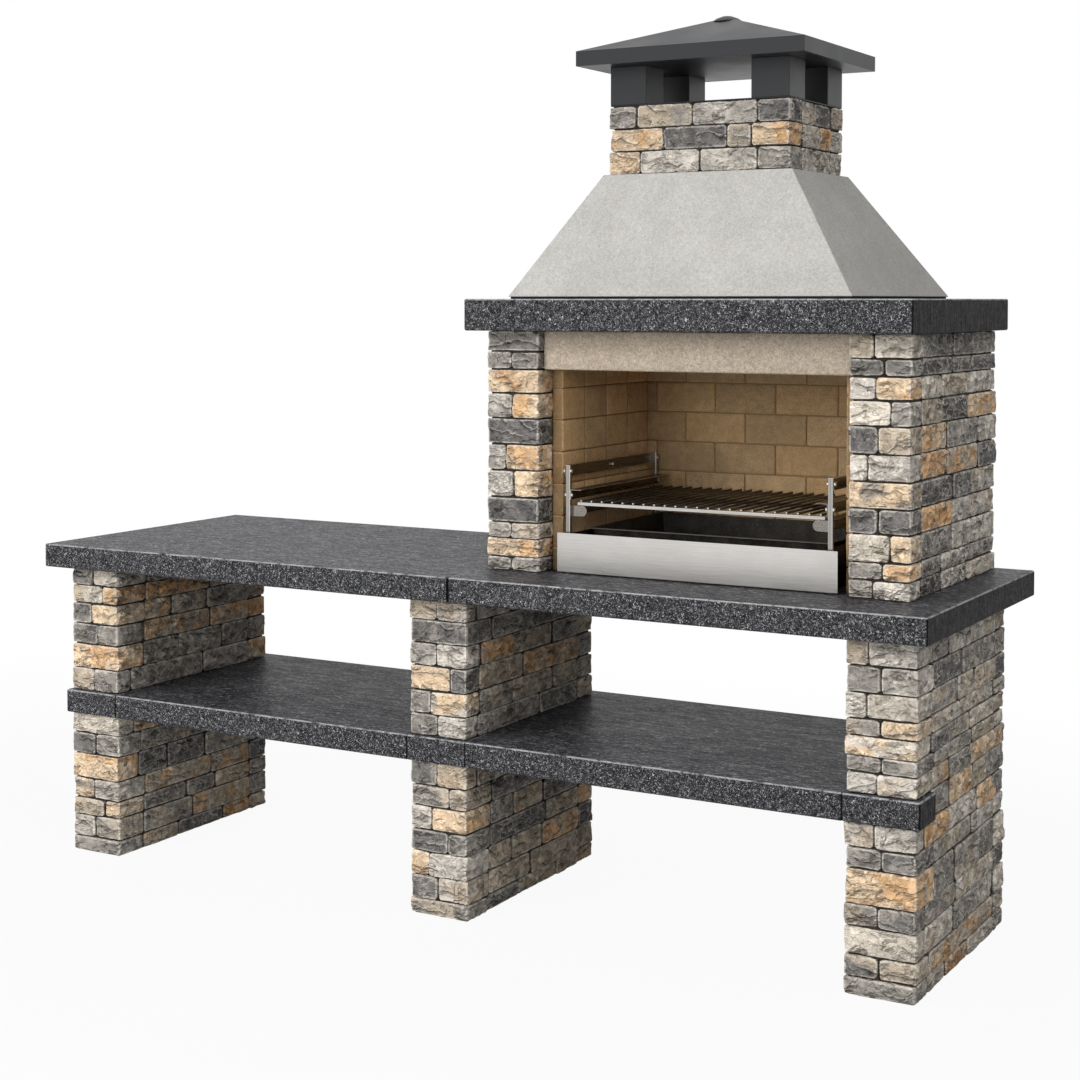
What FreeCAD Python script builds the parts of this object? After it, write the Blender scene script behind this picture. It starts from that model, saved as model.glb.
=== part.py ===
"""Stone garden barbecue with a side worktop, as an assembly of separate pieces.

Millimetres, +X to the right, +Y to the back, +Z up. The origin is on the ground
under the middle of the worktop.
"""
import FreeCAD, Part
import math
import os
from types import SimpleNamespace

doc = FreeCAD.newDocument("stone_barbecue")
sheet = doc.addObject("Spreadsheet::Sheet", "sizes")

SIZES = {
    # Worktop, shelves and legs
    "worktop_height": 860,
    "worktop_length": 2520,
    "worktop_depth": 830,
    "slab_thickness": 63,
    "slab_arris": 3,
    "slab_gap": 1.5,
    "right_worktop_length": 1203,
    "leg_width": 172,
    "leg_depth": 662,
    "leg_end_inset": 38,
    "leg_front_inset": 58,
    "middle_leg_lap": 152,
    "leg_back_stone": 86,
    "corner_shortest": 52,
    "corner_longest": 128,
    "shelf_height": 450,
    "shelf_front_lip": 10,
    "shelf_back_lip": 40,
    "shelf_bearing": 80,
    "band_depth": 110,
    "band_side_lip": 8,
    "stone_edge": 5,
    "stone_relief": 5,
    # Firebox
    "pillar_joint_gap": 5,
    "pillar_width": 151,
    "pillar_depth": 644,
    "pillar_setback": 170,
    "pillar_front_stone": 80,
    "firebox_width": 802,
    "outer_skin": 85,
    "back_skin": 52,
    "back_backing": 18,
    "lining_thickness": 30,
    "lining_setback": 72,
    "brick_length": 172,
    "brick_height": 79,
    "first_brick_height": 60,
    "side_brick_columns": 4,
    "brick_joint": 3,
    "lintel_height": 96,
    "lintel_depth": 88,
    "lintel_setback": 27,
    # Crown slab, hood and chimney
    "crown_height": 1457,
    "crown_thickness": 78,
    "crown_side_lip": 22,
    "crown_front_lip": 66,
    "crown_back_lip": 16,
    "throat_width": 640,
    "throat_depth": 380,
    "throat_setback": 135,
    "seal_thickness": 5,
    "seal_inset": 6,
    "hood_left_inset": 118,
    "hood_right_inset": 143,
    "hood_front_inset": 12,
    "hood_back_inset": 28,
    "hood_height": 295,
    "hood_wall": 45,
    "hood_top_margin": 8,
    "chimney_width": 475,
    "chimney_depth": 347,
    "chimney_setback": 225,
    "chimney_height": 165,
    "chimney_skin": 80,
    "flue_wall": 20,
    # Chimney cap
    "cap_base_thickness": 3,
    "cap_base_inset": 5,
    "post_side": 96,
    "post_height": 92,
    "post_wall": 2,
    "roof_overhang": 57,
    "roof_eave": 36,
    "roof_rise": 82,
    "roof_top_width": 44,
    "roof_top_depth": 34,
    "roof_sheet": 3,
    "dome_width": 78,
    "dome_shoulder_width": 56,
    "dome_top_width": 24,
    "dome_skirt_height": 8,
    "dome_crest_height": 6,
    "dome_rise": 9,
    # Grill carriers and grill
    "carrier_spacer": 20,
    "spacer_width": 16,
    "strip_thickness": 3,
    "strip_height": 29,
    "upright_width": 11,
    "upright_height": 266,
    "upright_setback": 46,
    "rear_upright_gap": 9,
    "rail_sheet": 3,
    "rail_flange": 26,
    "rail_ledge": 30,
    "lower_rail_height": 166,
    "middle_rail_height": 207,
    "lug_length": 52,
    "bolt_shank": 6,
    "bolt_hole": 6.6,
    "bolt_head": 10,
    "bolt_head_height": 4,
    "grill_side_gap": 13,
    "grill_rest_gap": 0.3,
    "grill_bar": 8,
    "grill_front_gap": 4,
    "grill_depth": 457,
    "rod_width": 6,
    "rod_count": 23,
    "rod_end_inset": 10,
    # Drawer and charcoal pan
    "fascia_side_gap": 35,
    "fascia_bottom_gap": 4,
    "fascia_height": 96,
    "fascia_sheet": 3,
    "fascia_setback": 33,
    "drawer_sheet": 2,
    "drawer_side_gap": 5,
    "drawer_rest_gap": 0.5,
    "drawer_depth": 494,
    "drawer_wall_height": 99,
    "pan_inset": 20,
    "pan_front_gap": 80,
    "pan_back_gap": 20,
    "pan_rest_gap": 0.3,
    "pan_height": 104,
    "pan_taper": 16,
    "pan_rim": 9,
}

# Stone courses from the top down: relative height, and the left stone's share of the front.
# A share of 1 is one stone right across.
LEFT_LEG_UPPER = [(67, 0.46), (63, 0.66), (71, 0.43), (72, 0.56), (84, 1), (80, 0.47)]
LEFT_LEG_LOWER = [(68, 1), (72, 0.5), (85, 1), (70, 0.46), (58, 0.67), (76, 0.47), (52, 1)]
MIDDLE_LEG_UPPER = [(74, 0.47), (75, 1), (75, 0.46), (81, 0.69), (75, 0.36), (72, 0.48)]
MIDDLE_LEG_LOWER = [(80, 0.47), (69, 0.68), (77, 0.38), (70, 0.66), (80, 0.34), (78, 0.48), (52, 1)]
RIGHT_LEG_UPPER = [(93, 0.33), (87, 0.49), (83, 0.3), (57, 0.49), (63, 1), (53, 0.5), (70, 0.45)]
RIGHT_LEG_LOWER = [(86, 0.41), (72, 0.51), (120, 1), (77, 0.46), (95, 1), (75, 0.48), (64, 1)]
LEFT_PILLAR = [
    (20, 1), (17, 0.48), (23, 1), (24, 0.5), (25, 1), (25, 0.37), (26, 0.52), (24, 1), (15, 0.48),
    (18, 1), (14, 0.48),
]
RIGHT_PILLAR = [
    (25, 0.39), (18, 0.55), (24, 0.42), (26, 0.66), (28, 0.46), (28, 0.3), (27, 1), (26, 0.46), (28, 0.65),
    (18, 0.54), (20, 0.39),
]
CHIMNEY = [(1, (0.16, 0.47, 0.82)), (1, (0.31, 0.66, 0.79)), (1, (0.18, 0.51, 0.82))]
SHORTEST_SHARE = 0.7
LONGEST_SHARE = 1.4
PILLAR_SIDE_STONES = 3
SHELF_LEVEL_STONES = 4
CHIMNEY_SIDE_STONES = 2
ROD_SIDES = 8


class Length:
    """A length with its present value and the expression that gives it from the sheet."""

    def __init__(self, text, value):
        self.text = text
        self.value = value

    def joined(self, sign, other, value):
        return Length(f"({self.text} {sign} {getattr(other, 'text', other)})", value)

    def __float__(self):
        return float(self.value)

    def __add__(self, other):
        return self.joined("+", other, self.value + float(other))

    def __sub__(self, other):
        return self.joined("-", other, self.value - float(other))

    def __mul__(self, other):
        return self.joined("*", other, self.value * float(other))

    def __truediv__(self, other):
        return self.joined("/", other, self.value / float(other))

    def __neg__(self):
        return self * -1


for row, (name, number) in enumerate(SIZES.items(), start=1):
    sheet.set(f"A{row}", name)
    sheet.set(f"B{row}", str(number))
    sheet.setAlias(f"B{row}", name)
doc.recompute()
size = SimpleNamespace(**{name: Length(f"sizes.{name}", float(sheet.get(name))) for name in SIZES})

pieces = []


def keep(label, piece):
    """Names a finished sub-part."""
    piece.Label = label
    pieces.append(piece)
    return piece


def put(thing, x, y, z):
    """Ties the position of an object to the sheet."""
    for axis, length in zip("xyz", (x, y, z)):
        thing.setExpression(f".Placement.Base.{axis}", getattr(length, "text", str(length)))


def fill(thing, **lengths):
    """Ties properties of an object to the sheet."""
    for name, length in lengths.items():
        thing.setExpression(name, getattr(length, "text", str(length)))


def body_at(label, x, y, z):
    body = doc.addObject("PartDesign::Body", label)
    put(body, x, y, z)
    return keep(label, body)


def block(body, kind, at, by):
    """Adds or removes a box in a body, at a position in the body."""
    box = body.newObject(f"PartDesign::{kind}Box", f"{body.Label}_{kind.lower()}")
    fill(box, Length=by[0], Width=by[1], Height=by[2])
    put(box, *at)
    return box


def taper(body, kind, at, base, top, height):
    """Adds or removes a truncated pyramid: base and top are (low x, high x, low y, high y) in the body."""
    wedge = body.newObject(f"PartDesign::{kind}Wedge", f"{body.Label}_{kind.lower()}_taper")
    zero = Length("0", 0)
    fill(wedge, Xmin=base[0], Xmax=base[1], Zmin=-base[3], Zmax=-base[2], Ymin=zero, Ymax=height)
    fill(wedge, X2min=top[0], X2max=top[1], Z2min=-top[3], Z2max=-top[2])
    wedge.Placement = FreeCAD.Placement(FreeCAD.Vector(), FreeCAD.Rotation(FreeCAD.Vector(1, 0, 0), 90))
    put(wedge, *at)
    return wedge


def arris(body, solid, length):
    """Takes the sharpness off all twelve edges of a body's first box."""
    doc.recompute()
    chamfer = body.newObject("PartDesign::Chamfer", f"{body.Label}_arris")
    chamfer.Base = (solid, [f"Edge{n}" for n in range(1, 13)])
    fill(chamfer, Size=length)
    return chamfer


def slab(label, at, by):
    """A stone slab with a small arris on every edge."""
    body = body_at(label, *at)
    solid = block(body, "Additive", (0, 0, 0), by)
    arris(body, solid, size.slab_arris)
    return body


def plain_box(name, at, by):
    box = doc.addObject("Part::Box", name)
    fill(box, Length=by[0], Width=by[1], Height=by[2])
    put(box, *at)
    return box


def drilled(label, base, holes):
    """A bar with square holes for square-necked bolts."""
    tool = doc.addObject("Part::Compound", f"{label}_holes")
    tool.Links = holes
    cut = doc.addObject("Part::Cut", label)
    cut.Base = base
    cut.Tool = tool
    return keep(label, cut)


def group(label, solids, x, y, z):
    """Separate solids that are one kind of piece, laid out from a corner that the sheet places."""
    feature = doc.addObject("Part::Feature", label)
    feature.Shape = Part.makeCompound(solids)
    put(feature, x, y, z)
    return keep(label, feature)


# Main lines of the object
worktop_front = -size.worktop_depth / 2
worktop_end = size.worktop_length / 2
worktop_under = size.worktop_height - size.slab_thickness
shelf_under = size.shelf_height - size.slab_thickness
leg_front = worktop_front + size.leg_front_inset
leg_back = leg_front + size.leg_depth
left_leg = -worktop_end + size.leg_end_inset
right_leg = worktop_end - size.leg_end_inset - size.leg_width
worktop_joint = worktop_end - size.right_worktop_length
middle_leg = worktop_joint - size.middle_leg_lap
pillar_left = worktop_joint + size.pillar_joint_gap
opening_left = pillar_left + size.pillar_width
opening_right = opening_left + size.firebox_width
pillar_right = opening_right + size.pillar_width
pillar_front = worktop_front + size.pillar_setback
pillar_back = pillar_front + size.pillar_depth
wall_height = size.crown_height - size.worktop_height
firebox_middle = opening_left + size.firebox_width / 2
lining_half = size.firebox_width / 2 - size.lining_thickness
lining_front = pillar_front + size.lining_setback
backing_back = pillar_back - size.back_skin
lining_outer = backing_back - size.back_backing
lining_back = lining_outer - size.lining_thickness
lintel_under = size.crown_height - size.lintel_height
crown_left = pillar_left - size.crown_side_lip
crown_right = pillar_right + size.crown_side_lip
crown_front = pillar_front - size.crown_front_lip
crown_back = pillar_back + size.crown_back_lip
crown_top = size.crown_height + size.crown_thickness
hood_under = crown_top + size.seal_thickness
hood_top = hood_under + size.hood_height
chimney_top = hood_top + size.chimney_height

# Worktop, shelves and band blocks
left_length = worktop_end + worktop_joint - size.slab_gap / 2
right_length = size.right_worktop_length - size.slab_gap / 2
slab(
    "left_worktop",
    (-worktop_end, worktop_front, worktop_under),
    (left_length, size.worktop_depth, size.slab_thickness),
)
slab(
    "right_worktop",
    (worktop_end - right_length, worktop_front, worktop_under),
    (right_length, size.worktop_depth, size.slab_thickness),
)

shelf_front = leg_front - size.shelf_front_lip
shelf_depth = size.leg_depth + size.shelf_front_lip + size.shelf_back_lip


def shelf(label, left, right, left_bearing, right_bearing):
    """A shelf slab whose ends run into the legs behind the band blocks."""
    length = right - left + left_bearing + right_bearing
    by = (length, shelf_depth, size.slab_thickness)
    body = slab(label, (left - left_bearing, shelf_front, shelf_under), by)
    zero = Length("0", 0)
    block(body, "Subtractive", (zero, zero, zero), (left_bearing, size.band_depth, size.slab_thickness))
    block(
        body,
        "Subtractive",
        (length - right_bearing, zero, zero),
        (right_bearing, size.band_depth, size.slab_thickness),
    )


half_leg = size.leg_width / 2 - size.slab_gap / 2
shelf("left_shelf", left_leg + size.leg_width, middle_leg, size.shelf_bearing, half_leg)
shelf("right_shelf", middle_leg + size.leg_width, right_leg, half_leg, size.shelf_bearing)

for name, start, length in (
    ("left_band", left_leg - size.band_side_lip, size.leg_width + size.band_side_lip),
    ("middle_band", middle_leg, size.leg_width),
    ("right_band", right_leg, size.leg_width + size.band_side_lip),
):
    slab(name, (start, shelf_front, shelf_under), (length, size.band_depth, size.slab_thickness))

# Stonework
FACES = {"left": (0, 0), "right": (0, 1), "front": (1, 0), "back": (1, 1)}
edge = float(size.stone_edge)
relief = float(size.stone_relief)
laid = []


def vary(low, high, step=0):
    """A repeatable value between low and high that changes from stone to stone."""
    share = (len(laid) * 0.618034 + step * 0.381966 + 0.21) % 1.0
    return low + (high - low) * share


def stone(low, high, *faces):
    """A split stone. Its outer faces stand back a little, and the first has its edges knocked off."""
    laid.append(faces)
    corners = [list(low), list(high)]
    for step, face in enumerate(faces):
        axis, end = FACES[face]
        corners[end][axis] += vary(0, relief, step) * (1 - 2 * end)
    extent = [b - a for a, b in zip(*corners)]
    solid = Part.makeBox(*extent, FreeCAD.Vector(*corners[0]))
    axis, end = FACES[faces[0]]
    level = corners[end][axis]
    rim = [e for e in solid.Edges if all(abs(v.Point[axis] - level) < 1e-6 for v in e.Vertexes)]
    return solid.makeChamfer(edge, rim)


def row(start, end, count, step=0):
    """Splits a run into stones of uneven length."""
    weights = [vary(SHORTEST_SHARE, LONGEST_SHARE, step + n) for n in range(count)]
    places = [start]
    for weight in weights:
        places.append(places[-1] + (end - start) * weight / sum(weights))
    return list(zip(places, places[1:]))


def beds(courses, height):
    """The low and high level of each course, from the top down."""
    top = height
    for weight, split in courses:
        bottom = top - height * weight / sum(c[0] for c in courses)
        yield bottom, top, split
        top = bottom


def leg_stones(courses, height):
    """A leg section: one or two stones in front, one at the back, two or three along each side."""
    width, depth = float(size.leg_width), float(size.leg_depth)
    rear = depth - float(size.leg_back_stone)
    stones = []
    for course, (low, high, split) in enumerate(beds(courses, float(height))):
        left_count = 2 + course % 2
        right_count = 3 - course % 2
        corner = vary(float(size.corner_shortest), float(size.corner_longest))
        if split == 1:
            stones.append(stone((0, 0, low), (width, corner, high), "front", "left", "right"))
        else:
            stones.append(stone((0, 0, low), (width * split, corner, high), "front", "left"))
            stones.append(stone((width * split, 0, low), (width, corner, high), "front", "right"))
        for start, end in row(corner, rear, left_count):
            stones.append(stone((0, start, low), (width / 2, end, high), "left"))
        for start, end in row(corner, rear, right_count, 2):
            stones.append(stone((width / 2, start, low), (width, end, high), "right"))
        stones.append(stone((0, rear, low), (width, depth, high), "back", "left", "right"))
    return stones


lower_height = shelf_under
upper_height = worktop_under - size.shelf_height
for name, start, lower, upper in (
    ("left_leg", left_leg, LEFT_LEG_LOWER, LEFT_LEG_UPPER),
    ("middle_leg", middle_leg, MIDDLE_LEG_LOWER, MIDDLE_LEG_UPPER),
    ("right_leg", right_leg, RIGHT_LEG_LOWER, RIGHT_LEG_UPPER),
):
    group(f"{name}_lower_stones", leg_stones(lower, lower_height), start, leg_front, 0)
    group(f"{name}_upper_stones", leg_stones(upper, upper_height), start, leg_front, size.shelf_height)


def shelf_level_stones(face):
    """The stones beside a built-in shelf end, behind the band block."""
    width = float(size.leg_width - size.shelf_bearing)
    run = float(size.leg_depth + size.shelf_front_lip - size.band_depth)
    height = float(size.slab_thickness)
    stones = []
    for start, end in row(0, run, SHELF_LEVEL_STONES):
        faces = (face, "back") if end > run - 1 else (face,)
        stones.append(stone((0, start, 0), (width, end, height), *faces))
    return stones


band_back = shelf_front + size.band_depth
group("left_leg_shelf_stones", shelf_level_stones("left"), left_leg, band_back, shelf_under)
group(
    "right_leg_shelf_stones",
    shelf_level_stones("right"),
    right_leg + size.shelf_bearing,
    band_back,
    shelf_under,
)


def pillar_stones(courses, outer):
    """A firebox side: stones across the front, then a skin along the outer side to the back."""
    width, depth, skin = float(size.pillar_width), float(size.pillar_depth), float(size.outer_skin)
    front = float(size.pillar_front_stone)
    low_x, high_x = (0, skin) if outer == "left" else (width - skin, width)
    stones = []
    for low, high, split in beds(courses, float(wall_height)):
        if split == 1:
            stones.append(stone((0, 0, low), (width, front, high), "front", outer))
        else:
            parts = [(0, width * split), (width * split, width)]
            for start, end in parts:
                at_corner = (start == 0) == (outer == "left")
                faces = ("front", outer) if at_corner else ("front",)
                stones.append(stone((start, 0, low), (end, front, high), *faces))
        for start, end in row(front, depth, PILLAR_SIDE_STONES):
            faces = (outer, "back") if end > depth - 1 else (outer,)
            stones.append(stone((low_x, start, low), (high_x, end, high), *faces))
    return stones


for side, courses, start in (("left", LEFT_PILLAR, pillar_left), ("right", RIGHT_PILLAR, opening_right)):
    stones = pillar_stones(courses, side)
    group(f"{side}_pillar_stones", stones, start, pillar_front, size.worktop_height)

inside_skins = pillar_right - pillar_left - size.outer_skin * 2
back_stones = []
for course, (low, high, split) in enumerate(beds(LEFT_PILLAR, float(wall_height))):
    for start, end in row(0, float(inside_skins), 3 + course % 2):
        back_stones.append(stone((start, 0, low), (end, float(size.back_skin), high), "back"))
group("back_wall_stones", back_stones, pillar_left + size.outer_skin, backing_back, size.worktop_height)

# Insulating backing slabs and firebricks
backing_width = size.pillar_width - size.outer_skin
backing_front = pillar_front + size.pillar_front_stone
for name, start in (("left_backing", pillar_left + size.outer_skin), ("right_backing", opening_right)):
    keep(
        name,
        plain_box(
            name,
            (start, backing_front, size.worktop_height),
            (backing_width, lining_outer - backing_front, wall_height),
        ),
    )
keep(
    "back_backing",
    plain_box(
        "back_backing",
        (pillar_left + size.outer_skin, lining_outer, size.worktop_height),
        (inside_skins, size.back_backing, wall_height),
    ),
)

lining_height = float(lintel_under - size.worktop_height)
brick_joint = float(size.brick_joint)


def brick_beds():
    """Low and high level of each brick course, the first one cut and the last one cut to fit."""
    low = 0.0
    high = float(size.first_brick_height)
    while low < lining_height - brick_joint:
        yield low, min(high, lining_height)
        low = high
        high = low + float(size.brick_height)


def bricks(run, lengths, thickness, along_x):
    """Firebricks with open joints: lengths(course) gives the joint places along the run."""
    solids = []
    for course, (low, high) in enumerate(brick_beds()):
        top = high if high == lining_height else high - brick_joint
        places = lengths(course)
        for start, end in zip(places, places[1:]):
            length = end - start - (brick_joint if end < run - 0.1 else 0)
            by = (length, thickness) if along_x else (thickness, length)
            at = (start, 0, low) if along_x else (0, start, low)
            solids.append(Part.makeBox(*by, top - low, FreeCAD.Vector(*at)))
    return solids


side_run = float(lining_back - lining_front)
back_run = float(size.firebox_width)
thickness = float(size.lining_thickness)


def side_joints(course):
    columns = int(size.side_brick_columns.value)
    return [side_run * n / columns for n in range(columns + 1)]


def back_joints(course):
    """Running bond from the middle: every other course moves by half a brick."""
    length = float(size.brick_length)
    first = back_run / 2 - length * (2 if course % 2 else 2.5)
    inner = [first + length * n for n in range(7)]
    return [0.0] + [x for x in inner if length * 0.2 < x < back_run - length * 0.2] + [back_run]


group(
    "left_firebricks",
    bricks(side_run, side_joints, thickness, False),
    opening_left,
    lining_front,
    size.worktop_height,
)
group(
    "right_firebricks",
    bricks(side_run, side_joints, thickness, False),
    opening_right - size.lining_thickness,
    lining_front,
    size.worktop_height,
)
group(
    "back_firebricks",
    bricks(back_run, back_joints, thickness, True),
    opening_left,
    lining_back,
    size.worktop_height,
)

# Lintel and crown slab
slab(
    "lintel",
    (opening_left, pillar_front + size.lintel_setback, lintel_under),
    (size.firebox_width, size.lintel_depth, size.lintel_height),
)
crown = slab(
    "crown_slab",
    (crown_left, crown_front, size.crown_height),
    (crown_right - crown_left, crown_back - crown_front, size.crown_thickness),
)
throat_left = firebox_middle - size.throat_width / 2
throat_front = pillar_front + size.throat_setback
block(
    crown,
    "Subtractive",
    (throat_left - crown_left, throat_front - crown_front, 0),
    (size.throat_width, size.throat_depth, size.crown_thickness),
)

# Smoke hood on its seal
hood_left = crown_left + size.hood_left_inset
hood_front = crown_front + size.hood_front_inset
hood_width = crown_right - crown_left - size.hood_left_inset - size.hood_right_inset
hood_depth = crown_back - crown_front - size.hood_front_inset - size.hood_back_inset
seal = body_at("hood_seal", hood_left + size.seal_inset, hood_front + size.seal_inset, crown_top)
block(
    seal,
    "Additive",
    (0, 0, 0),
    (hood_width - size.seal_inset * 2, hood_depth - size.seal_inset * 2, size.seal_thickness),
)
block(
    seal,
    "Subtractive",
    (throat_left - hood_left - size.seal_inset, throat_front - hood_front - size.seal_inset, 0),
    (size.throat_width, size.throat_depth, size.seal_thickness),
)

chimney_left = firebox_middle - size.chimney_width / 2
chimney_front = worktop_front + size.chimney_setback
flue_width = size.chimney_width - size.chimney_skin * 2 - size.flue_wall * 2
flue_depth = size.chimney_depth - size.chimney_skin * 2 - size.flue_wall * 2
flue_inset = size.chimney_skin + size.flue_wall
top_left = chimney_left - hood_left
top_front = chimney_front - hood_front
zero = Length("0", 0)

hood = body_at("smoke_hood", hood_left, hood_front, hood_under)
taper(
    hood,
    "Additive",
    (0, 0, 0),
    (zero, hood_width, zero, hood_depth),
    (
        top_left - size.hood_top_margin,
        top_left + size.chimney_width + size.hood_top_margin,
        top_front - size.hood_top_margin,
        top_front + size.chimney_depth + size.hood_top_margin,
    ),
    size.hood_height,
)
taper(
    hood,
    "Subtractive",
    (0, 0, 0),
    (size.hood_wall, hood_width - size.hood_wall, size.hood_wall, hood_depth - size.hood_wall),
    (
        top_left + flue_inset,
        top_left + flue_inset + flue_width,
        top_front + flue_inset,
        top_front + flue_inset + flue_depth,
    ),
    size.hood_height,
)

# Chimney stones round the flue liner
chimney_stones = []
width, depth, skin = float(size.chimney_width), float(size.chimney_depth), float(size.chimney_skin)
for low, high, splits in beds(CHIMNEY, float(size.chimney_height)):
    places = [0, *[width * share for share in splits], width]
    for start, end in zip(places, places[1:]):
        ends = ["left"] * (start == 0) + ["right"] * (end == width)
        chimney_stones.append(stone((start, 0, low), (end, skin, high), "front", *ends))
        far = (width - end, depth - skin, low), (width - start, depth, high)
        far_ends = ["right"] * (start == 0) + ["left"] * (end == width)
        chimney_stones.append(stone(*far, "back", *far_ends))
    for start, end in row(skin, depth - skin, CHIMNEY_SIDE_STONES):
        chimney_stones.append(stone((0, start, low), (skin, end, high), "left"))
        chimney_stones.append(stone((width - skin, start, low), (width, end, high), "right"))
group("chimney_stones", chimney_stones, chimney_left, chimney_front, hood_top)

liner = body_at("flue_liner", chimney_left + size.chimney_skin, chimney_front + size.chimney_skin, hood_top)
block(
    liner,
    "Additive",
    (0, 0, 0),
    (flue_width + size.flue_wall * 2, flue_depth + size.flue_wall * 2, size.chimney_height),
)
block(
    liner,
    "Subtractive",
    (size.flue_wall, size.flue_wall, 0),
    (flue_width, flue_depth, size.chimney_height),
)

# Chimney cap
base_width = size.chimney_width - size.cap_base_inset * 2
base_depth = size.chimney_depth - size.cap_base_inset * 2
base_left = chimney_left + size.cap_base_inset
base_front = chimney_front + size.cap_base_inset
base = body_at("cap_base", base_left, base_front, chimney_top)
block(base, "Additive", (0, 0, 0), (base_width, base_depth, size.cap_base_thickness))
block(
    base,
    "Subtractive",
    (flue_inset - size.cap_base_inset, flue_inset - size.cap_base_inset, 0),
    (flue_width, flue_depth, size.cap_base_thickness),
)

post_under = chimney_top + size.cap_base_thickness
for across in ("left", "right"):
    for along in ("front", "back"):
        x = base_left if across == "left" else base_left + base_width - size.post_side
        y = base_front if along == "front" else base_front + base_depth - size.post_side
        post = body_at(f"cap_post_{along}_{across}", x, y, post_under)
        block(post, "Additive", (0, 0, 0), (size.post_side, size.post_side, size.post_height))
        inner = size.post_side - size.post_wall * 2
        block(post, "Subtractive", (size.post_wall, size.post_wall, 0), (inner, inner, size.post_height))

roof_under = post_under + size.post_height
roof_left = chimney_left - size.roof_overhang
roof_front = chimney_front - size.roof_overhang
roof_width = size.chimney_width + size.roof_overhang * 2
roof_depth = size.chimney_depth + size.roof_overhang * 2
sheet_left = (roof_width - size.roof_top_width) / 2
sheet_front = (roof_depth - size.roof_top_depth) / 2

roof = body_at("cap_roof", roof_left, roof_front, roof_under)
block(roof, "Additive", (0, 0, 0), (roof_width, roof_depth, size.roof_eave))
taper(
    roof,
    "Additive",
    (0, 0, size.roof_eave),
    (zero, roof_width, zero, roof_depth),
    (sheet_left, sheet_left + size.roof_top_width, sheet_front, sheet_front + size.roof_top_depth),
    size.roof_rise,
)
inside_width = roof_width - size.roof_sheet * 2
inside_depth = roof_depth - size.roof_sheet * 2
inside = (inside_width, inside_depth, size.roof_eave)
block(roof, "Subtractive", (size.roof_sheet, size.roof_sheet, 0), inside)
taper(
    roof,
    "Subtractive",
    (0, 0, size.roof_eave),
    (size.roof_sheet, roof_width - size.roof_sheet, size.roof_sheet, roof_depth - size.roof_sheet),
    (sheet_left, sheet_left + size.roof_top_width, sheet_front, sheet_front + size.roof_top_depth),
    size.roof_rise - size.roof_sheet,
)

# A low pressed dome closes the top of the roof
dome_shoulder = size.roof_eave + size.roof_rise + size.dome_rise - size.dome_crest_height
dome_foot = dome_shoulder - size.dome_skirt_height
for name, low, height, wide, narrow in (
    ("skirt", dome_foot, size.dome_skirt_height, size.dome_width, size.dome_shoulder_width),
    ("crest", dome_shoulder, size.dome_crest_height, size.dome_shoulder_width, size.dome_top_width),
):
    ring = roof.newObject("PartDesign::AdditiveCone", f"dome_{name}")
    fill(ring, Radius1=wide / 2, Radius2=narrow / 2, Height=height)
    put(ring, roof_width / 2, roof_depth / 2, low)

keep(
    "cap_soffit",
    plain_box(
        "cap_soffit",
        (roof_left + size.roof_sheet, roof_front + size.roof_sheet, roof_under),
        (inside_width, inside_depth, size.roof_sheet),
    ),
)

# Grill carriers, one on each firebrick wall
spacer_half = lining_half - size.carrier_spacer
strip_half = spacer_half - size.strip_thickness
upright_half = strip_half - size.upright_width
flange_half = upright_half - size.rail_sheet
ledge_half = upright_half - size.rail_ledge
front_upright = pillar_front + size.upright_setback
rear_upright = lining_back - size.rear_upright_gap - size.upright_width
upright_top = size.worktop_height + size.upright_height
rail_front = front_upright + size.upright_width
carrier_depth = rear_upright + size.upright_width - front_upright
strip_bolts = upright_top - size.strip_height / 2
lower_rail = size.worktop_height + size.lower_rail_height
middle_rail = size.worktop_height + size.middle_rail_height
rail_bolt_drop = (size.rail_flange + size.rail_sheet) / 2
hole_slack = (size.bolt_hole - size.upright_width) / 2


def across(side, outer, inner):
    """Where a piece that lies between two distances from the firebox middle begins along X."""
    return firebox_middle - outer if side == "left" else firebox_middle + inner


def holes(label, side, outer, inner, places):
    """Square bolt holes through a bar, centred on an upright and on a level."""
    tools = []
    for number, (upright, level) in enumerate(places):
        tools.append(
            plain_box(
                f"{label}_hole_{number}",
                (across(side, outer, inner), upright - hole_slack, level - size.bolt_hole / 2),
                (outer - inner, size.bolt_hole, size.bolt_hole),
            )
        )
    return tools


BOLTS = {
    "front": [strip_bolts, middle_rail - rail_bolt_drop],
    "rear": [strip_bolts, middle_rail - rail_bolt_drop, lower_rail - rail_bolt_drop],
}
UPRIGHTS = {"front": front_upright, "rear": rear_upright}

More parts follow.
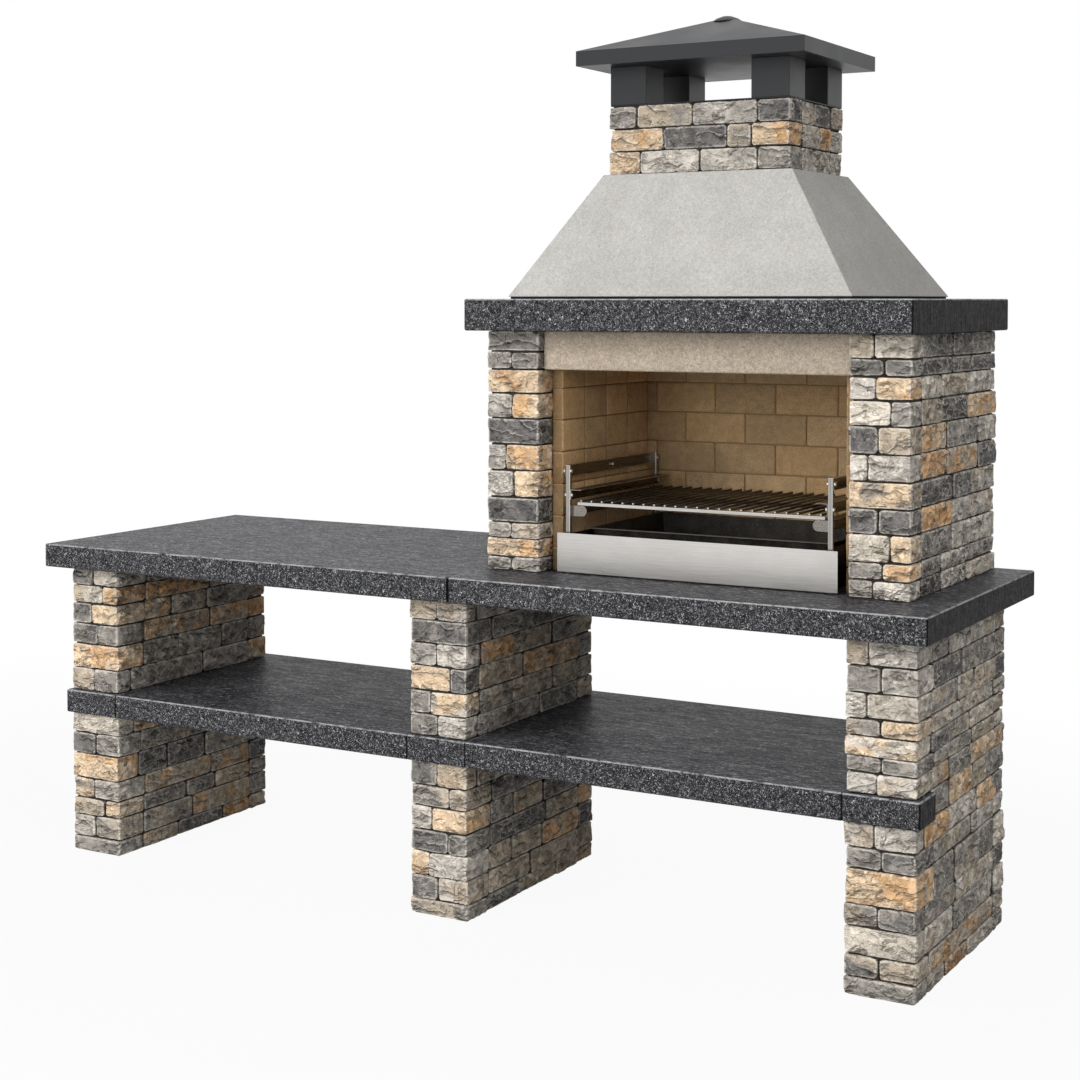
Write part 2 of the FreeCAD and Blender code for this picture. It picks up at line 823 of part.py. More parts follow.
for side in ("left", "right"):
    for end, place in UPRIGHTS.items():
        label = f"{side}_{end}_upright"
        bar = plain_box(
            f"{label}_bar",
            (across(side, strip_half, upright_half), place, size.worktop_height),
            (size.upright_width, size.upright_width, size.upright_height),
        )
        drilled(label, bar, holes(label, side, strip_half, upright_half, [(place, z) for z in BOLTS[end]]))

    label = f"{side}_top_strip"
    bar = plain_box(
        f"{label}_bar",
        (across(side, spacer_half, strip_half), front_upright, upright_top - size.strip_height),
        (size.strip_thickness, carrier_depth, size.strip_height),
    )
    middle = front_upright + carrier_depth / 2 - size.upright_width / 2
    places = [(place, strip_bolts) for place in (front_upright, middle, rear_upright)]
    drilled(label, bar, holes(label, side, spacer_half, strip_half, places))

    for level, height, ends in (
        ("middle", middle_rail, ("front", "rear")),
        ("lower", lower_rail, ("rear",)),
    ):
        label = f"{side}_{level}_rail"
        start = front_upright if level == "middle" else rail_front + size.rail_sheet
        length = rear_upright + size.upright_width - start
        flange = plain_box(
            f"{label}_flange",
            (across(side, upright_half, flange_half), start, height - size.rail_flange),
            (size.rail_sheet, length, size.rail_flange),
        )
        ledge = plain_box(
            f"{label}_ledge",
            (across(side, upright_half, ledge_half), start, height - size.rail_sheet),
            (size.rail_ledge, length, size.rail_sheet),
        )
        angle = doc.addObject("Part::MultiFuse", f"{label}_angle")
        angle.Shapes = [flange, ledge]
        angle.Refine = True
        places = [(UPRIGHTS[end], height - rail_bolt_drop) for end in ends]
        drilled(label, angle, holes(label, side, upright_half, flange_half, places))

    # The lug: a plate with a round inner end that closes the front of the lower rail
    label = f"{side}_rail_lug"
    radius = size.rail_flange / 2
    round_half = strip_half - size.lug_length + radius
    plate = plain_box(
        f"{label}_plate",
        (across(side, strip_half, round_half), rail_front, lower_rail - size.rail_flange),
        (size.lug_length - radius, size.rail_sheet, size.rail_flange),
    )
    disc = doc.addObject("Part::Cylinder", f"{label}_end")
    fill(disc, Radius=radius, Height=size.rail_sheet)
    disc.Placement.Rotation = FreeCAD.Rotation(FreeCAD.Vector(1, 0, 0), -90)
    put(disc, across(side, round_half, round_half), rail_front, lower_rail - radius)
    lug = doc.addObject("Part::MultiFuse", label)
    lug.Shapes = [plate, disc]
    lug.Refine = True
    keep(label, lug)


def prism(sides, width, length):
    """A bar along +X from the origin, with a regular polygon of this width across its flats."""
    radius = width / 2 / math.cos(math.pi / sides)
    points = []
    for corner in range(sides + 1):
        turn = math.pi * (2 * corner + 1) / sides
        points.append(FreeCAD.Vector(0, radius * math.cos(turn), radius * math.sin(turn)))
    return Part.Face(Part.makePolygon(points)).extrude(FreeCAD.Vector(length, 0, 0))


def square_neck(start, length):
    """The square shank of a bolt, along +X."""
    side = float(size.bolt_shank)
    return Part.makeBox(length, side, side, FreeCAD.Vector(start, -side / 2, -side / 2))


def bolt(grip):
    """A square-necked bolt with a hexagonal head and nut: the grip runs from 0 along +X."""
    head = float(size.bolt_head_height)
    near = prism(6, float(size.bolt_head), head)
    far = near.copy()
    far.translate(FreeCAD.Vector(grip, 0, 0))
    near.translate(FreeCAD.Vector(-head, 0, 0))
    return square_neck(0, grip).fuse([near, far]).removeSplitter()


def stud(gap, grip):
    """A hexagonal spacer from the wall, then a square neck through the strip and a hexagonal head."""
    spacer = prism(6, float(size.spacer_width), gap)
    head = prism(6, float(size.bolt_head), float(size.bolt_head_height))
    head.translate(FreeCAD.Vector(gap + grip, 0, 0))
    return spacer.fuse([square_neck(gap, grip), head]).removeSplitter()


bolts = []
reach = float(size.upright_width) / 2
for side in ("left", "right"):
    for end, place in UPRIGHTS.items():
        for level in BOLTS[end]:
            on_strip = level is strip_bolts
            outer = float(spacer_half if on_strip else strip_half)
            inner = float(upright_half if on_strip else flange_half)
            x = -outer if side == "left" else inner
            y = float(place - front_upright) + reach
            z = float(level - size.worktop_height)
            one = bolt(outer - inner)
            one.translate(FreeCAD.Vector(x, y, z))
            bolts.append(one)
group("carrier_bolts", bolts, firebox_middle, front_upright, size.worktop_height)

studs = []
for side in ("left", "right"):
    one = stud(float(size.carrier_spacer), float(size.strip_thickness))
    one.translate(FreeCAD.Vector(-float(lining_half), 0, 0))
    if side == "right":
        one.rotate(FreeCAD.Vector(), FreeCAD.Vector(0, 0, 1), 180)
    one.translate(FreeCAD.Vector(0, float(carrier_depth) / 2, float(strip_bolts - size.worktop_height)))
    studs.append(one)
group("wall_studs", studs, firebox_middle, front_upright, size.worktop_height)

# Cooking grill
grill_half = upright_half - size.grill_side_gap
bar_under = lower_rail + size.grill_rest_gap
grill_front = rail_front + size.grill_front_gap
bar_width = grill_half * 2
for name, start in (
    ("grill_front_bar", grill_front),
    ("grill_middle_bar", grill_front + size.grill_depth / 2 - size.grill_bar / 2),
    ("grill_rear_bar", grill_front + size.grill_depth - size.grill_bar),
):
    bar = plain_box(
        name,
        (firebox_middle - grill_half, start, bar_under),
        (bar_width, size.grill_bar, size.grill_bar),
    )
    keep(name, bar)

rods = []
count = int(size.rod_count.value)
rod_span = float(bar_width - size.rod_end_inset * 2)
for number in range(count):
    x = float(size.rod_end_inset) + rod_span * number / (count - 1)
    rod = prism(ROD_SIDES, float(size.rod_width), float(size.grill_depth))
    rod.rotate(FreeCAD.Vector(), FreeCAD.Vector(0, 0, 1), 90)
    rod.translate(FreeCAD.Vector(x, 0, float(size.rod_width) / 2))
    rods.append(rod)
group("grill_rods", rods, firebox_middle - grill_half, grill_front, bar_under + size.grill_bar)

# Drawer with its fascia, and the charcoal pan
fascia_front = pillar_front + size.fascia_setback
fascia_half = size.firebox_width / 2 - size.fascia_side_gap
fascia_under = size.worktop_height + size.fascia_bottom_gap
fascia = body_at("drawer_fascia", firebox_middle - fascia_half, fascia_front, fascia_under)
block(fascia, "Additive", (0, 0, 0), (fascia_half * 2, size.fascia_sheet, size.fascia_height))

drawer_half = upright_half - size.drawer_side_gap
drawer_front = fascia_front + size.fascia_sheet
drawer_under = size.worktop_height + size.drawer_rest_gap
drawer = body_at("drawer_box", firebox_middle - drawer_half, drawer_front, drawer_under)
block(drawer, "Additive", (0, 0, 0), (drawer_half * 2, size.drawer_depth, size.drawer_wall_height))
block(
    drawer,
    "Subtractive",
    (size.drawer_sheet, size.drawer_sheet, size.drawer_sheet),
    (
        drawer_half * 2 - size.drawer_sheet * 2,
        size.drawer_depth - size.drawer_sheet * 2,
        size.drawer_wall_height - size.drawer_sheet,
    ),
)

pan_half = drawer_half - size.drawer_sheet - size.pan_inset
pan_front = drawer_front + size.pan_front_gap
pan_width = pan_half * 2
pan_depth = size.drawer_depth - size.pan_front_gap - size.pan_back_gap
pan_under = drawer_under + size.drawer_sheet + size.pan_rest_gap
pan = body_at("charcoal_pan", firebox_middle - pan_half, pan_front, pan_under)
wall = size.drawer_sheet
slope = size.pan_taper
taper(
    pan,
    "Additive",
    (0, 0, 0),
    (slope, pan_width - slope, slope, pan_depth - slope),
    (zero, pan_width, zero, pan_depth),
    size.pan_height,
)
block(
    pan,
    "Additive",
    (-size.pan_rim, -size.pan_rim, size.pan_height - wall),
    (pan_width + size.pan_rim * 2, pan_depth + size.pan_rim * 2, wall),
)
taper(
    pan,
    "Subtractive",
    (0, 0, wall),
    (slope + wall, pan_width - slope - wall, slope + wall, pan_depth - slope - wall),
    (wall, pan_width - wall, wall, pan_depth - wall),
    size.pan_height - wall,
)

# Check every piece, then write it
doc.recompute()
for thing in doc.Objects:
    if any(word in thing.State for word in ("Invalid", "Error")):
        raise RuntimeError(f"{thing.Label}: {thing.State}")
os.makedirs("parts", exist_ok=True)
for piece in pieces:
    if piece.Shape.isNull() or not piece.Shape.isValid():
        raise RuntimeError(f"{piece.Label} has no valid shape")
    piece.Shape.exportStep(f"parts/{piece.Label}.step")
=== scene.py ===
"""Looks of the stone garden barbecue: stones, slabs, concrete, firebricks, steel, light and camera."""
import math
from functools import lru_cache

import bpy
import numpy as np
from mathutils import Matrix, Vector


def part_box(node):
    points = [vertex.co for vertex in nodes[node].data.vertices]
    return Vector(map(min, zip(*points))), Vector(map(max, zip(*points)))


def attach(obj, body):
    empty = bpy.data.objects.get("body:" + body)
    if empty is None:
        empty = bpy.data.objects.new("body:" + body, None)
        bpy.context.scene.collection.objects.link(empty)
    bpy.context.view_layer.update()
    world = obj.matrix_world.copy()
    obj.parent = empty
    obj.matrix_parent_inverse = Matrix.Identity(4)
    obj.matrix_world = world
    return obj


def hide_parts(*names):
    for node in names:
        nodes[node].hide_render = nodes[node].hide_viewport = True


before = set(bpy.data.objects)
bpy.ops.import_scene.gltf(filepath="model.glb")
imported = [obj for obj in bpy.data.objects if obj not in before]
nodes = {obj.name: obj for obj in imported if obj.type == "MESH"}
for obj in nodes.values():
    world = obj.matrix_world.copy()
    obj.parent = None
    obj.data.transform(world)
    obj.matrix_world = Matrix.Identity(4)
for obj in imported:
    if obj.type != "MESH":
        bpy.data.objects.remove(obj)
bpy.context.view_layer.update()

STONE_NODES = [name for name in nodes if name.endswith("_stones")]
SLAB_NODES = [name for name in nodes if name.endswith(("_worktop", "_shelf", "_band"))] + ["crown_slab"]

# Rows of a stone's mesh, in metres: their spacing, those near an edge, those behind a single face
CELL = 0.0075
EDGE_ROWS = (0.0, 0.0025)
EDGE_BAND = 0.0065
VENEER_ROWS = (0.0, 0.003, 0.01, 0.034)

# Joints: half their width along x, y and z, the mortar's depth, and how far a face stands back
JOINT_HALVES = (0.0008, 0.0016, 0.0006)
MORTAR_DEPTH = 0.009
OUTER_SKIN = 0.001

# How near the outside a stone's side shows, and how near in height stones share a course
FACE_NEAR = 0.007
SAME_LEVEL = 0.002

# Round edges and corners of a stone
ROUNDING = 0.0055
ROUNDING_SHARE = 0.2
ROUNDING_SPREAD = (0.85, 1.2)
CORNER_ROUNDING = 0.0085
CORNER_SPREAD = (0.7, 1.3)
JOINT_TURN = (0.3, 0.62)
FACE_TURN = (0.1, 0.8)

# Relief of a split face: ridges, a bulge, and ledges across it
JOINT_WOBBLE = 0.0024
WOBBLE_GRAIN = 0.03
RIDGE_GRAINS = (0.018, 0.027)
RIDGE_STRETCHES = (1.1, 1.8)
RIDGE_LIFT = 0.0072
RIDGE_MIDDLE = 0.55
SMALL_RIDGE_LIFT = 0.0014
BULGE = 0.0022
BULGE_BASE = 0.0012
BULGE_REACH = 0.03
EDGE_RELIEF = 0.35
EDGE_FADE = (0.001, 0.014)
LEDGE_PLACES = (0.22, 0.78)
LEDGE_SLOPE = 0.25
LEDGE_WAVE = 0.5
LEDGE_WAVE_GRAIN = 0.035
LEDGE_KEPT = (0.48, 0.66)
LEDGE_KEPT_GRAIN = 0.045
LEDGE_RISES = (0.0014, 0.0036)
LEDGE_BLUR = 0.003
STONE_SHIFT = 0.001

# Stone colours as they look in plain light, 0 to 255
TONES = {
    "L": (206, 198, 187),
    "C": (209, 199, 184),
    "G": (153, 147, 140),
    "D": (112, 109, 107),
    "O": (226, 199, 166),
    "R": (211, 167, 120),
    "T": (189, 174, 154),
}
SIDE_TONES = ("L", "T", "D", "L", "TR", "G", "LT", "GT", "D", "C", "T", "G", "D", "O", "R", "LT")
# Palettes for the legs' sides; the left leg's darker, warmer tones are painted shade under the worktop
LEG_SIDE_TONES = {
    "left_leg": ("GT", "D", "G", "TR", "D", "GT", "R", "G", "D", "TR", "GT", "D", "G", "D", "TR", "GT"),
    "middle_leg": ("T", "T", "G", "LT", "GT", "T", "R", "G", "D", "O", "T", "G", "D", "T", "TR", "L"),
    "right_leg": ("L", "T", "D", "L", "TR", "G", "LT", "GT", "GT", "C", "T", "G", "LT", "O", "R", "LT"),
}
# Colour of the painted highlights: stone rims, facet crests, terrace crests and ledge lips
HIGHLIGHT_TONE = (236, 229, 218)

# Share of its colour that a stone keeps in the nodes whose stones are made darker
STONE_DARKENING = {"chimney_stones": 0.8}

# Tones of the front stones, chosen stone by stone to follow the photograph: each course from the
# top down, its stones from left to right. A second letter is the tone of a stone's patches.
FRONT_TONES = {
    "left_pillar_stones": "G G|G O GL|O D GL|O LG|O D G|GT O G|GL",
    "right_pillar_stones": "T|C GD|GD L|O C|G D|T L|L OG D|D CT|OT GD|O G|L",
    "left_leg_upper_stones": "G|C TC|O GD|OT DG|G O TL|GL",
    "left_leg_lower_stones": "C D|G O GO|L T|OT L|TG G",
    "middle_leg_upper_stones": "T|TL DG GL|LG OT|DG GL|OL G|L",
    "middle_leg_lower_stones": "GD|OT GT|T GL|O DG|G O|L GD|TL GT",
    "right_leg_upper_stones": "T|L GD|LG L|C GT|OT OL G|G LG|LT",
    "right_leg_lower_stones": "TL|L G|DG O GT|GD C DT|TL G",
    "chimney_stones": "G|TG|LG|D O|D|TG|O OG|LG|LG|GD",
}

# How a stone's colour varies: between stones, in patches, and with painted light: shade along the relief, a
# highlight on the rims, shade in the joints
TONE_SPREAD = (0.9, 1.06)
PATCH_SPREAD = (0.9, 1.1)
PATCH_GAINS = (0.78, 1.18)
PATCH_GRAIN = 0.04
PATCH_KEPT = (0.49, 0.6)
PATCH_SHARE = 0.8
SHADE_LOW = 0.88
SHADE_SPAN = 0.24
SHADE_GRAIN = 0.02
RIDGE_SHADE = 0.3
RIM_HIGHLIGHT_SHARE = 0.52
JOINT_SHADE = 0.85
COLOUR_LIMITS = (0.01, 0.95)

# Firebricks, in metres, and their colour; the walls at the sides get painted light that makes them paler
# than the back
BRICK_TONE = (188, 157, 118)
BRICK_SPREAD = (0.86, 1.1)
BRICK_WARMTH = 0.06
SIDE_BRICK_PAINTED_LIGHT = 1.5
BRICK_ROUNDING = 0.003
BRICK_CELL = 0.014
BRICK_JOINT = 0.003
BRICK_ROUGHNESS = 0.001
BRICK_CHIPS = 0.012
POINTING_DEPTH = 0.0035

# Grill rods: sides of a rod and length of its softened tip, in metres
ROD_SIDES = 14
ROD_TIP = 0.0012

# Steps between the seeds of neighbouring stones and bricks, and the tone where a material reads none
STONE_SEED_STEP = 7
BRICK_SEED_STEP = 11
NO_TONE = 0.05


def linear(colour):
    """Scene-linear values of a colour given from 0 to 255."""
    share = np.asarray(colour, float) / 255
    return np.where(share > 0.04045, ((share + 0.055) / 1.055) ** 2.4, share / 12.92)


def rgba(colour):
    """Scene-linear colour with full cover, for a node's socket."""
    return (*linear(colour), 1.0)


def smooth(low, high, value):
    """Rises softly from 0 at low to 1 at high."""
    share = np.clip((value - low) / (high - low), 0, 1)
    return share * share * (3 - 2 * share)


def name_seed(name):
    """A fixed seed for a node."""
    return sum(map(ord, name))


LATTICE = np.random.RandomState(11).rand(4096)


def noise(points, grain, seed):
    """Smooth noise from 0 to 1 whose features are about one grain wide."""
    place = points / grain + seed * 17.31
    cell = np.floor(place).astype(np.int64)
    part = place - cell
    part = part * part * (3 - 2 * part)
    total = np.zeros(len(points))
    for corner in np.ndindex(2, 2, 2):
        at = cell + corner
        key = (at[:, 0] * 73856093 ^ at[:, 1] * 19349663 ^ at[:, 2] * 83492791) & (len(LATTICE) - 1)
        total += LATTICE[key] * np.prod(np.where(corner, part, 1 - part), axis=1)
    return total


def solids_of(name):
    """Low and high corner of each closed solid in a node, in the node's own order."""
    mesh = nodes[name].data
    points = np.empty(len(mesh.vertices) * 3, np.float32)
    mesh.vertices.foreach_get("co", points)
    points = points.reshape(-1, 3).astype(float)
    corners = np.empty(len(mesh.loops), np.int32)
    mesh.loops.foreach_get("vertex_index", corners)
    same = np.unique(np.round(points * 1e5), axis=0, return_inverse=True)[1].ravel()
    boxes = []
    open_edges = set()
    first = 0
    for last, triangle in enumerate(corners.reshape(-1, 3), start=1):
        for a, b in zip(triangle, np.roll(triangle, -1)):
            open_edges ^= {frozenset((same[a], same[b]))}
        if not open_edges:
            solid = points[corners[3 * first:3 * last]]
            boxes.append((solid.min(0), solid.max(0)))
            first = last
    return boxes


@lru_cache(maxsize=None)
def block_grid(counts, plain):
    """Surface of a box in cells: lattice points, and faces that wind outwards. A plain side is one face."""
    points, faces = [], []
    for axis in range(3):
        u, v = (axis + 1) % 3, (axis + 2) % 3
        across, up = counts[u], counts[v]
        for end in (0, 1):
            start = len(points)
            for i in range(across + 1):
                for j in range(up + 1):
                    place = [0, 0, 0]
                    place[axis], place[u], place[v] = end * counts[axis], i, j
                    points.append(tuple(place))

            def at(i, j):
                return start + i * (up + 1) + j

            if (axis, end) in plain:
                rim = [at(i, 0) for i in range(across)] + [at(across, j) for j in range(up)]
                rim += [at(i, up) for i in range(across, 0, -1)] + [at(0, j) for j in range(up, 0, -1)]
                made = [rim]
            else:
                made = [
                    [at(i, j), at(i + 1, j), at(i + 1, j + 1), at(i, j + 1)]
                    for i in range(across)
                    for j in range(up)
                ]
            faces += made if end else [face[::-1] for face in made]
    used = sorted({points[n] for face in faces for n in face})
    number = {point: n for n, point in enumerate(used)}
    return np.array(used), [[number[points[n]] for n in face] for face in faces]


def rows(length, cell):
    """Row places along an edge, closer together near both ends."""
    count = max(2, round((length - 2 * EDGE_BAND) / cell) + 1)
    inner = np.linspace(EDGE_BAND, length - EDGE_BAND, count)
    return np.concatenate([EDGE_ROWS, inner, length - np.array(EDGE_ROWS[::-1])])


def cut_box(low, places, plain):
    """Points and faces of a box that is cut into rows at the given places along each axis."""
    lattice, faces = block_grid(tuple(len(place) - 1 for place in places), plain)
    return low + np.stack([places[axis][lattice[:, axis]] for axis in range(3)], axis=1), faces


def plain_box(low, high):
    """Points and faces of a box with six faces."""
    lattice, faces = block_grid((1, 1, 1), ())
    return low + lattice * (high - low), faces


class Heap:
    """Gathers the points, faces and colours of many small solids for one mesh."""

    def __init__(self):
        self.points, self.faces, self.slots = [], [], []
        self.layers = {"tone": [], "ledge": []}
        self.count = 0

    def add(self, points, faces, tone, ledge=(0, 0, 0, 0), slot=0):
        self.points.append(points)
        for layer, values in (("tone", tone), ("ledge", ledge)):
            self.layers[layer].append(np.broadcast_to(values, (len(points), 4)))
        self.faces += [[n + self.count for n in face] for face in faces]
        self.slots += [slot] * len(faces)
        self.count += len(points)

    def piece(self, name, materials):
        """The finished object. Faces in the first material's slot are shaded smooth."""
        mesh = bpy.data.meshes.new(name)
        mesh.from_pydata(np.concatenate(self.points).tolist(), [], self.faces)
        for item in materials:
            mesh.materials.append(item)
        mesh.polygons.foreach_set("material_index", self.slots)
        mesh.polygons.foreach_set("use_smooth", [slot == 0 for slot in self.slots])
        for layer, values in self.layers.items():
            held = mesh.attributes.new(layer, "FLOAT_COLOR", "POINT")
            held.data.foreach_set("color", np.concatenate(values).astype(np.float32).ravel())
        mesh.update()
        thing = bpy.data.objects.new(name, mesh)
        bpy.context.scene.collection.objects.link(thing)
        return thing


def rounded(points, low, high, radius):
    """Moves the points of a box onto the same box with round edges, and gives their outward directions."""
    inner = np.clip(points, low + radius, high - radius)
    way = points - inner
    way /= np.linalg.norm(way, axis=1)[:, None]
    return inner + way * radius, way


def round_corners(points, low, high, outer, radius):
    """Rounds the corners of the faces that show, where two joints meet."""
    joints = [(axis, end) for axis in range(3) for end in (0, 1) if (axis, end) not in outer]
    for a, a_end in joints:
        for b, b_end in joints:
            if a >= b:
                continue
            da = (points[:, a] - high[a] if a_end else low[a] - points[:, a]) + radius
            db = (points[:, b] - high[b] if b_end else low[b] - points[:, b]) + radius
            near = (da > 0) & (db > 0)
            share = np.ones(len(points))
            share[near] = np.maximum(da, db)[near] / np.hypot(da, db)[near]
            for axis, end, reach in ((a, a_end, da), (b, b_end, db)):
                points[near, axis] += ((share - 1) * reach)[near] * (1 if end else -1)
    return points


def stone_grid(low, high, outer):
    """Points and faces of a stone's box. A stone that shows one side only is a shallow block behind it."""
    places = [rows(high[axis] - low[axis], CELL) for axis in range(3)]
    plain = ((2, 0), (2, 1))
    if len(outer) == 1:
        axis, end = outer[0]
        deep = np.array(VENEER_ROWS)
        places[axis] = high[axis] - low[axis] - deep[::-1] if end else deep
        plain = ((axis, 1 - end),)
    return cut_box(low, places, plain)


def stone_colours(points, code, seed, pick, ridge, out):
    """Colours over a stone: its tone, patches of a second tone, and painted shade and highlight that follow
    the relief.
    """
    code = "OR" if code == "O" else code
    base = linear(TONES[code[0]]) * pick.uniform(*TONE_SPREAD)
    if len(code) > 1:
        other = linear(TONES[code[1]]) * pick.uniform(*PATCH_SPREAD)
    else:
        other = base * pick.choice(PATCH_GAINS)
    patch = smooth(*PATCH_KEPT, noise(points, PATCH_GRAIN, seed + 60)) * PATCH_SHARE
    shade = SHADE_LOW + SHADE_SPAN * noise(points * (1, 1, 2.2), SHADE_GRAIN, seed + 70)
    # Painted shade and highlight: lighter on the ridges, darker between them
    shade *= 1 + RIDGE_SHADE * (ridge - 0.6) * out
    return (base + (other - base) * patch[:, None]) * shade[:, None]


def split_stone(low, high, outer, code, seed):
    """A split stone: round edges, a rough face with ridges and ledges, and its colours."""
    pick = np.random.RandomState(seed)
    low, high = low.copy(), high.copy()
    for axis in range(3):
        for end, corner, step in ((0, low, 1), (1, high, -1)):
            corner[axis] += step * (OUTER_SKIN if (axis, end) in outer else JOINT_HALVES[axis])
    size = high - low
    points, faces = stone_grid(low, high, outer)
    radius = min(ROUNDING, size.min() * ROUNDING_SHARE) * pick.uniform(*ROUNDING_SPREAD)
    wobble = (noise(points, WOBBLE_GRAIN, seed + 0.3) - 0.5) * JOINT_WOBBLE
    far = np.sort(np.minimum(points - low, high - points), axis=1)[:, 1]
    points, way = rounded(points, low, high, radius)
    points = round_corners(points, low, high, outer, CORNER_ROUNDING * pick.uniform(*CORNER_SPREAD))

    # How far each point faces outwards: 1 on a face that shows, 0 in a joint
    facing = np.zeros(len(points))
    for axis, end in outer:
        facing = np.maximum(facing, way[:, axis] * (1 if end else -1))
    joint = 1 - smooth(*JOINT_TURN, facing)
    out = smooth(*FACE_TURN, facing)
    face = EDGE_RELIEF + (1 - EDGE_RELIEF) * smooth(*EDGE_FADE, far)

    # Relief
    along = points[:, 0] + points[:, 1]
    height = points[:, 2] - low[2]
    grain = pick.uniform(*RIDGE_GRAINS)
    stretch = np.array([1, 1, pick.uniform(*RIDGE_STRETCHES)])
    ridge = 1 - np.abs(noise(points * stretch, grain, seed) * 2 - 1)
    small = 1 - np.abs(noise(points * stretch, grain * 0.5, seed + 5) * 2 - 1)
    lift = RIDGE_LIFT * (ridge - RIDGE_MIDDLE) + SMALL_RIDGE_LIFT * (small - 0.5)
    lift += BULGE * smooth(0, BULGE_REACH, far) - BULGE_BASE
    ledge = np.zeros((len(points), 4))
    for step in range(2):
        level = size[2] * pick.uniform(*LEDGE_PLACES)
        level = level + pick.uniform(-LEDGE_SLOPE, LEDGE_SLOPE) * (along - along.mean())
        wave = noise(points * (1, 1, 0.3), LEDGE_WAVE_GRAIN, seed + 20 + step) - 0.5
        level += size[2] * LEDGE_WAVE * wave
        reach = smooth(*LEDGE_KEPT, noise(points * (1, 1, 0.2), LEDGE_KEPT_GRAIN, seed + 40 + step))
        rise = pick.uniform(*LEDGE_RISES) * pick.choice([-1, 1])
        lift += reach * rise * np.tanh((height - level) / LEDGE_BLUR)
        ledge[:, 2 * step] = height - level
        ledge[:, 2 * step + 1] = reach * out
    lift = lift * face + pick.uniform(-STONE_SHIFT, STONE_SHIFT)
    points = points + way * (lift * out + wobble * (1 - out))[:, None]
    points[:, 2] = np.maximum(points[:, 2], 0)

    # Colours, with a painted highlight on the pale rims and painted shade on the sides in the joints
    colours = stone_colours(points, code, seed, pick, ridge, out)
    bend = 1 - np.abs(way).max(axis=1)
    rim_highlight = RIM_HIGHLIGHT_SHARE * out * smooth(0.02, 0.1, bend) * (1 - 0.5 * smooth(0.15, 0.28, bend))
    colours = colours + (linear(HIGHLIGHT_TONE) - colours) * rim_highlight[:, None]
    colours = np.clip(colours * (1 - JOINT_SHADE * joint[:, None]), *COLOUR_LIMITS)
    return points, faces, np.column_stack([colours, np.full(len(points), pick.rand())]), ledge


def outer_faces(low, high, box_low, box_high, name):
    """The sides of a stone that show: those near the outside of its node."""
    sides = []
    for axis in (0, 1):
        if low[axis] - box_low[axis] < FACE_NEAR:
            sides.append((axis, 0))
        if box_high[axis] - high[axis] < FACE_NEAR:
            sides.append((axis, 1))
    hidden = {
        "back_wall_stones": [(0, 0), (0, 1), (1, 0)],
        "left_leg_shelf_stones": [(0, 1), (1, 0)],
        "right_leg_shelf_stones": [(0, 0), (1, 0)],
    }.get(name, [])
    behind_front = low[1] - box_low[1] > FACE_NEAR
    if name == "left_pillar_stones" and behind_front:
        hidden = [(0, 1)]
    if name == "right_pillar_stones" and behind_front:
        hidden = [(0, 0)]
    return tuple(side for side in sides if side not in hidden)


def stone_codes(name, boxes):
    """A colour code for each stone: the fronts as photographed, the others drawn from a fixed seed."""
    pick = np.random.RandomState(name_seed(name))
    palette = next((tones for leg, tones in LEG_SIDE_TONES.items() if name.startswith(leg)), SIDE_TONES)
    codes = [str(pick.choice(palette)) for box in boxes]
    front = min(low[1] for low, high in boxes) + FACE_NEAR
    levels = sorted({round(low[2], 3) for low, high in boxes}, reverse=True)
    for level, course in zip(levels, FRONT_TONES.get(name, "").split()):
        stones = [
            number
            for number, (low, high) in enumerate(boxes)
            if low[1] < front and abs(low[2] - level) < SAME_LEVEL
        ]
        stones.sort(key=lambda number: boxes[number][0][0])
        for number, code in zip(stones, course.split("|")):
            codes[number] = code
    return codes


def pull_in(low, high, sides, depth):
    """Moves the given sides of a box inwards."""
    for axis, end in sides:
        (high if end else low)[axis] += depth * (-1 if end else 1)


def stonework(name, stone, mortar):
    """Rough stones and the mortar behind their joints, in place of a node of plain stones."""
    boxes = solids_of(name)
    box_low, box_high = (np.array(corner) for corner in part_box(name))
    heap = Heap()
    for number, ((low, high), code) in enumerate(zip(boxes, stone_codes(name, boxes))):
        outer = outer_faces(low, high, box_low, box_high, name)
        seed = name_seed(name) + STONE_SEED_STEP * number
        points, faces, tone, ledge = split_stone(low, high, outer, code, seed)
        tone[:, :3] *= STONE_DARKENING.get(name, 1.0)
        heap.add(points, faces, tone, ledge)
        pull_in(low, high, outer, MORTAR_DEPTH)
        heap.add(*plain_box(low, high), NO_TONE, slot=1)
    piece = heap.piece(name.replace("_stones", "_stonework"), [stone, mortar])
    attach(piece, "masonry")
    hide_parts(name)


